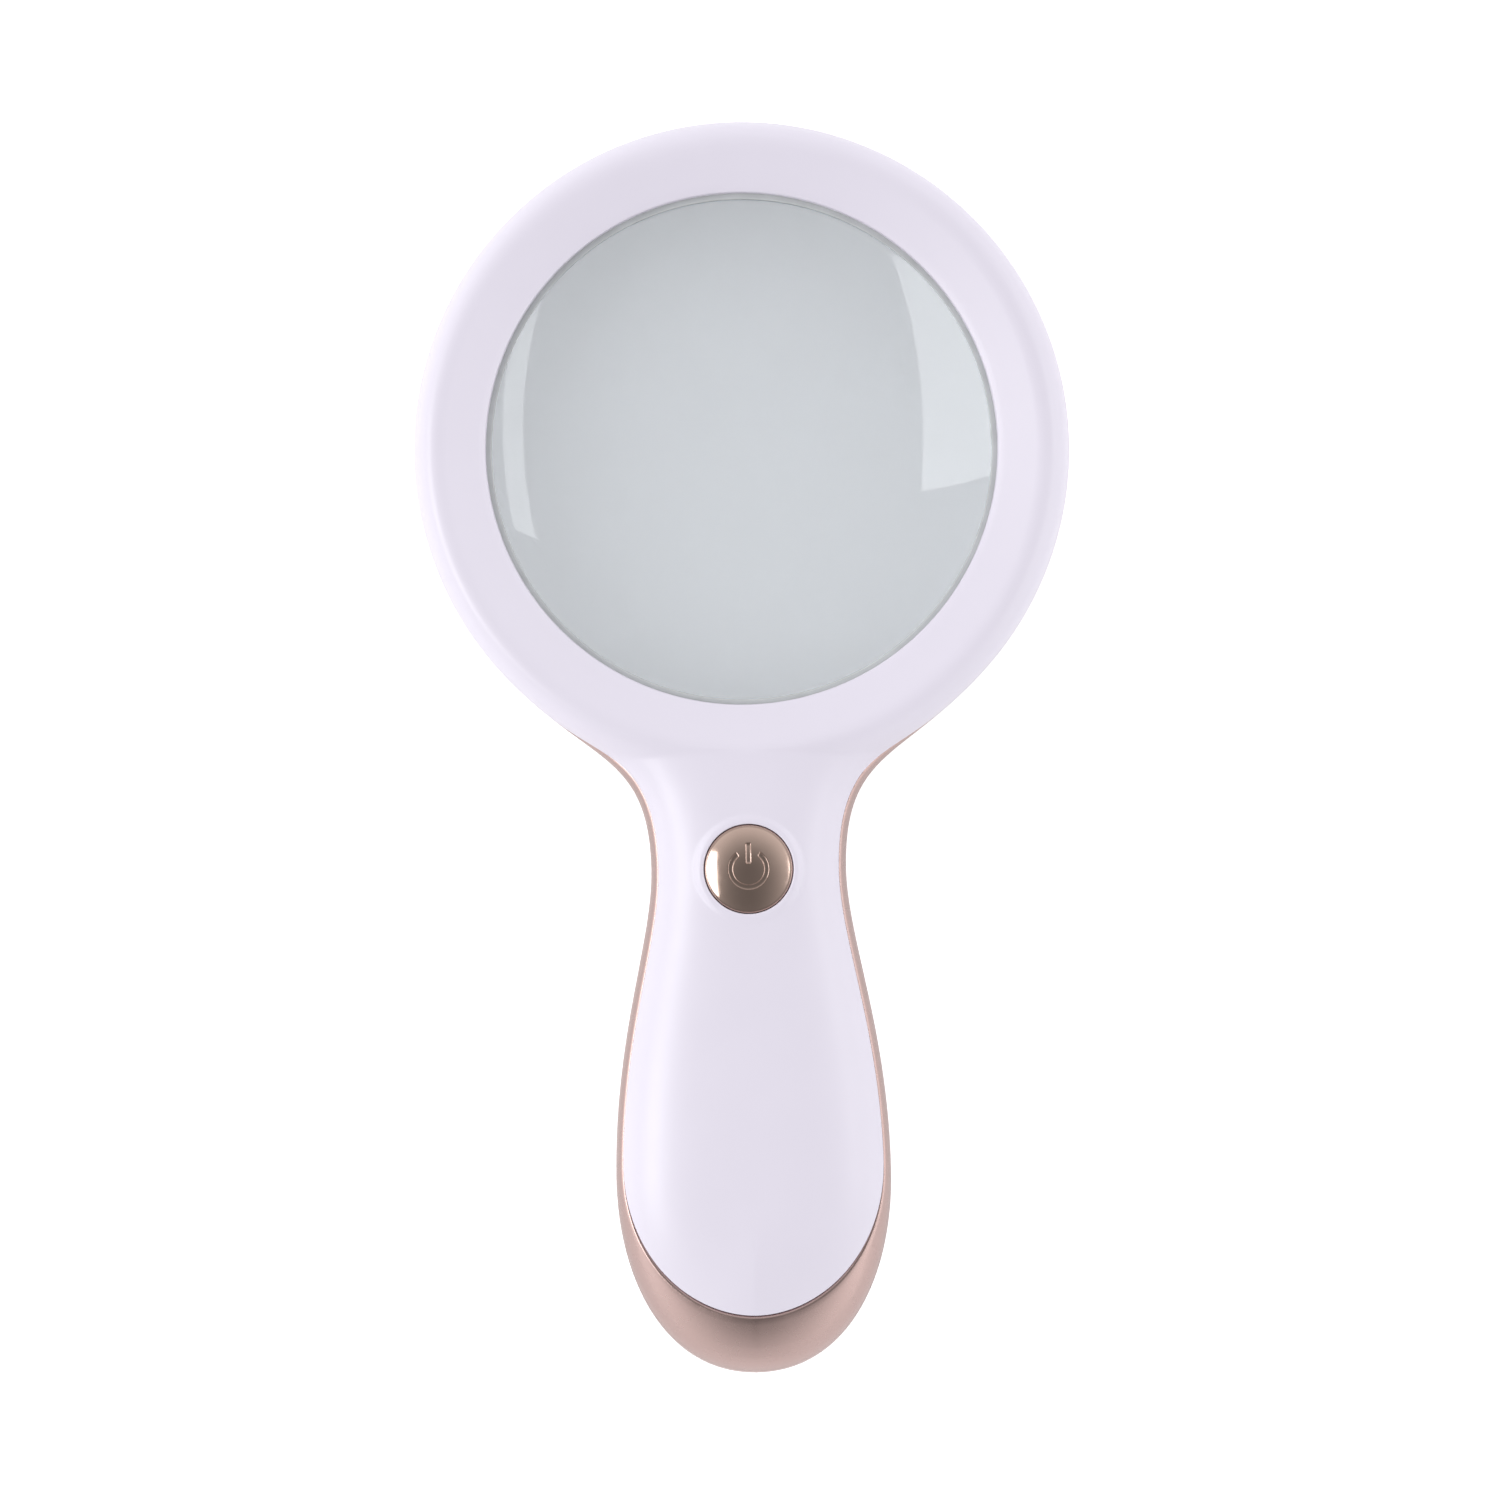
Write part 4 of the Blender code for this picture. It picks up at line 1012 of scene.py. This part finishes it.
def calculated(tree, operation, *values):
    made = tree.nodes.new("ShaderNodeMath")
    made.operation = operation
    for socket, value in zip(made.inputs, values):
        if isinstance(value, float):
            socket.default_value = value
        else:
            tree.links.new(value, socket)
    return made.outputs["Value"]


class Look:
    """A Principled material whose colour, roughness and relief vary with noise in object space."""

    def __init__(self, name, colour, roughness, metallic=0.0, **fixed):
        self.material = bpy.data.materials.new(name)
        self.material.use_nodes = True
        self.tree = self.material.node_tree
        self.shader = self.tree.nodes["Principled BSDF"]
        self.colour = colour
        self.roughness = roughness
        self.set("Base Color", (*colour, 1.0))
        self.set("Roughness", roughness)
        self.set("Metallic", metallic)
        for socket, value in fixed.items():
            self.set(socket.replace("_", " "), value)
        self.place = self.tree.nodes.new("ShaderNodeTexCoord").outputs["Object"]
        self.relief = None

    def set(self, socket, value):
        self.shader.inputs[socket].default_value = value

    def link(self, output, target):
        self.tree.links.new(output, target)

    def noise(self, size, detail=3.0, stretch=(1.0, 1.0, 1.0)):
        """Noise whose features are about this many metres wide."""
        mapping = self.tree.nodes.new("ShaderNodeMapping")
        mapping.inputs["Scale"].default_value = [1 / (size * share) for share in stretch]
        self.link(self.place, mapping.inputs["Vector"])
        made = self.tree.nodes.new("ShaderNodeTexNoise")
        made.inputs["Scale"].default_value = 1.0
        made.inputs["Detail"].default_value = detail
        self.link(mapping.outputs["Vector"], made.inputs["Vector"])
        return made.outputs["Fac"]

    def cells(self, size):
        """Random grey per grain of about this many metres."""
        made = self.tree.nodes.new("ShaderNodeTexVoronoi")
        made.inputs["Scale"].default_value = 1 / size
        self.link(self.place, made.inputs["Vector"])
        return made.outputs["Color"]

    def ranged(self, value, low, high, low_in=0.3, high_in=0.7):
        return map_range(self.tree, value, low_in, high_in, low, high).outputs["Result"]

    def mixed(self, share, first, second):
        made = self.tree.nodes.new("ShaderNodeMix")
        made.data_type = "RGBA"
        self.link(share, made.inputs["Factor"])
        made.inputs["A"].default_value = (*first, 1.0)
        made.inputs["B"].default_value = (*second, 1.0)
        return made.outputs["Result"]

    def mottle(self, value, other, low_in=0.3, high_in=0.7):
        """Drifts from the look's colour to another one."""
        share = self.ranged(value, 0.0, 1.0, low_in, high_in)
        self.link(self.mixed(share, self.colour, other), self.shader.inputs["Base Color"])
        return self

    def gloss(self, value, spread):
        low, high = self.roughness - spread, self.roughness + spread
        self.link(self.ranged(value, low, high), self.shader.inputs["Roughness"])
        return self

    def bump(self, value, depth, strength=1.0):
        made = self.tree.nodes.new("ShaderNodeBump")
        made.inputs["Distance"].default_value = depth
        made.inputs["Strength"].default_value = strength
        self.link(value, made.inputs["Height"])
        if self.relief:
            self.link(self.relief, made.inputs["Normal"])
        self.relief = made.outputs["Normal"]
        self.link(self.relief, self.shader.inputs["Normal"])
        return self


def tinted(colour, share):
    return tuple(min(value * share, 1.0) for value in colour)


def white_shell():
    """Satin lilac-white lacquer on moulded plastic."""
    colour = (0.775, 0.735, 0.84)
    look = Look("white_shell", colour, 0.36, Specular_IOR_Level=0.85)
    look.mottle(look.noise(0.018), tinted(colour, 0.985))
    look.gloss(look.noise(0.006), 0.025)
    look.bump(look.noise(0.0006, 2.0), 0.0000022)
    return look.bump(look.noise(0.009, 1.0), 0.000006).material


def rose_coating():
    """Fine metal-flake paint."""
    colour = (0.53, 0.385, 0.36)
    look = Look("rose_coating", colour, 0.27, 1.0)
    look.mottle(look.cells(0.00012), tinted(colour, 0.93), 0.0, 1.0)
    look.gloss(look.noise(0.004), 0.03)
    return look.bump(look.noise(0.0003, 2.0), 0.0000018).material


def button_coating():
    """Polished plating."""
    colour = (0.64, 0.475, 0.405)
    look = Look("button_coating", colour, 0.10, 1.0)
    look.mottle(look.noise(0.003), tinted(colour, 0.97))
    look.gloss(look.noise(0.0012), 0.02)
    return look.bump(look.noise(0.0002, 2.0, (1.0, 12.0, 1.0)), 0.0000003).material


def lens_glass():
    look = Look("lens_glass", (0.95, 0.975, 1.0), 0.02, IOR=1.49, Transmission_Weight=1.0)
    look.gloss(look.noise(0.02, 4.0), 0.015)
    return look.bump(look.noise(0.03, 1.0), 0.000002).material


def gasket_rubber():
    colour = (0.60, 0.62, 0.63)
    look = Look("gasket_rubber", colour, 0.55)
    look.mottle(look.noise(0.004), tinted(colour, 0.9))
    look.gloss(look.noise(0.002), 0.06)
    return look.bump(look.noise(0.0003), 0.000006).material


def moulded(name, colour, roughness=0.45, grain=0.0005, **fixed):
    """Plain moulded plastic with a fine spark-eroded grain."""
    look = Look(name, colour, roughness, **fixed)
    look.mottle(look.noise(0.008), tinted(colour, 0.94))
    look.gloss(look.noise(0.003), 0.05)
    return look.bump(look.noise(grain, 2.0), 0.000006).material


def metal(name, colour, roughness, stretch=(1.0, 1.0, 1.0)):
    """Plated steel with drawing marks and a little tarnish."""
    look = Look(name, colour, roughness, 1.0)
    look.mottle(look.noise(0.0015), tinted(colour, 0.82))
    look.gloss(look.noise(0.0006), 0.06)
    return look.bump(look.noise(0.0002, 2.0, stretch), 0.000002).material


def board():
    """Solder mask over copper tracks."""
    mask, track = (0.02, 0.17, 0.08), (0.05, 0.27, 0.12)
    look = Look("board", mask, 0.32, Coat_Weight=0.4, Coat_Roughness=0.15)
    look.mottle(look.noise(0.0022, 0.0, (1.0, 0.35, 1.0)), track, 0.52, 0.54)
    look.gloss(look.noise(0.001), 0.05)
    return look.bump(look.noise(0.0022, 0.0, (1.0, 0.35, 1.0)), 0.00002).material


LOOKS = {
    "white_shell": white_shell(),
    "rose_coating": rose_coating(),
    "button_coating": button_coating(),
    "lens_glass": lens_glass(),
    "gasket_rubber": gasket_rubber(),
    "inner_white": moulded("inner_white", (0.74, 0.74, 0.76)),
    "frosted_plastic": moulded("frosted_plastic", (0.86, 0.88, 0.90), 0.4, Transmission_Weight=0.35),
    "board": board(),
    "led_phosphor": moulded("led_phosphor", (0.93, 0.76, 0.24), 0.35, 0.0002),
    "black_plastic": moulded("black_plastic", (0.025, 0.025, 0.028)),
    "spring_steel": metal("spring_steel", (0.72, 0.72, 0.71), 0.24),
    "contact_metal": metal("contact_metal", (0.78, 0.76, 0.70), 0.28, (1.0, 10.0, 1.0)),
    "screw_steel": metal("screw_steel", (0.62, 0.62, 0.63), 0.30),
    "cell_case": moulded("cell_case", (0.05, 0.16, 0.30), 0.28, 0.001, Coat_Weight=0.5),
    "wire_red": moulded("wire_red", (0.55, 0.025, 0.02), 0.4, 0.0004),
    "wire_black": moulded("wire_black", (0.02, 0.02, 0.022), 0.4, 0.0004),
}


def dress_cad_nodes():
    """Gives every CAD node the look of its slot."""
    for entry in frame["record"]["subparts"]:
        node = frame["nodes"][entry["node"]]
        node.data.materials.clear()
        node.data.materials.append(LOOKS[entry["material_slot"]])


# --- camera, floor and light ---


def add_camera():
    data = bpy.data.cameras.new("camera")
    data.sensor_width = SENSOR
    data.lens = FOCAL_LENGTH
    camera = linked("camera", data)
    camera.location = CAMERA_PLACE
    camera.rotation_euler = (0, 0, CAMERA_TURN)
    bpy.context.scene.camera = camera


def add_softbox(name, low, high, radiance):
    """A rectangular area light that faces down, between two corners given as shares of its height."""
    data = bpy.data.lights.new(name, "AREA")
    data.shape = "RECTANGLE"
    data.size, data.size_y = LIGHT_HEIGHT * (high[0] - low[0]), LIGHT_HEIGHT * (high[1] - low[1])
    data.energy = radiance * math.pi * data.size * data.size_y
    light = linked(name, data)
    middle = [LIGHT_HEIGHT * (a + b) / 2 for a, b in zip(low, high)]
    light.location = (middle[0], middle[1] + HEAD_Y, LIGHT_HEIGHT)


def add_floor():
    """Pale paper, lit up from behind where it is seen directly."""
    shape = bmesh.new()
    bmesh.ops.create_grid(shape, x_segments=1, y_segments=1, size=FLOOR_HALF)
    bmesh.ops.translate(shape, vec=(0, 0, FLOOR_Z), verts=shape.verts)
    floor = new_object("floor", shape)
    white = (1.0, 1.0, 1.0, 1.0)
    look = Look("floor", (0.85, 0.85, 0.86), 0.9, Specular_IOR_Level=0.1, Emission_Color=white)
    seen = look.tree.nodes.new("ShaderNodeLightPath").outputs["Is Camera Ray"]
    glow = calculated(look.tree, "MULTIPLY_ADD", seen, FLOOR_GLOW_SEEN, FLOOR_GLOW)
    look.link(glow, look.shader.inputs["Emission Strength"])
    floor.data.materials.append(look.material)


def add_world():
    """A pale room with a dim patch overhead, and lighter walls to the left and right."""
    world = bpy.data.worlds.new("room")
    bpy.context.scene.world = world
    world.use_nodes = True
    tree = world.node_tree
    nodes, links = tree.nodes, tree.links
    direction = nodes.new("ShaderNodeTexCoord").outputs["Generated"]
    split = nodes.new("ShaderNodeSeparateXYZ")
    links.new(direction, split.inputs["Vector"])
    toward = nodes.new("ShaderNodeVectorMath")
    toward.operation = "DOT_PRODUCT"
    toward.inputs[1].default_value = Vector(DIM_DIRECTION).normalized()
    links.new(direction, toward.inputs[0])
    far, near = (math.cos(reach) for reach in reversed(DIM_REACH))
    dimmed = map_range(tree, toward.outputs["Value"], far, near, ROOM, ROOM_DIM)
    dimmed.interpolation_type = "SMOOTHSTEP"
    sides = calculated(tree, "MULTIPLY", split.outputs["X"], split.outputs["X"])
    strength = calculated(tree, "MULTIPLY_ADD", sides, ROOM_SIDES, dimmed.outputs["Result"])
    links.new(strength, nodes["Background"].inputs["Strength"])
    nodes["Background"].inputs["Color"].default_value = (1.0, 1.0, 1.0, 1.0)


def light_scene():
    add_floor()
    add_world()
    add_softbox("left_softbox", (-1.15, -0.62), (-0.56, 0.22), 3.7)
    add_softbox("right_softbox", (0.75, -0.54), (0.90, 0.40), 3.5)
    bpy.context.scene.view_settings.view_transform = "Standard"


add_camera()
dress_cad_nodes()
front_shell()
rear_shell()
battery_door()
lens_parts()
light_ring()
power_button()
led_parts()
switch_parts()
battery_parts()
screw_parts()
wire_parts()
light_scene()
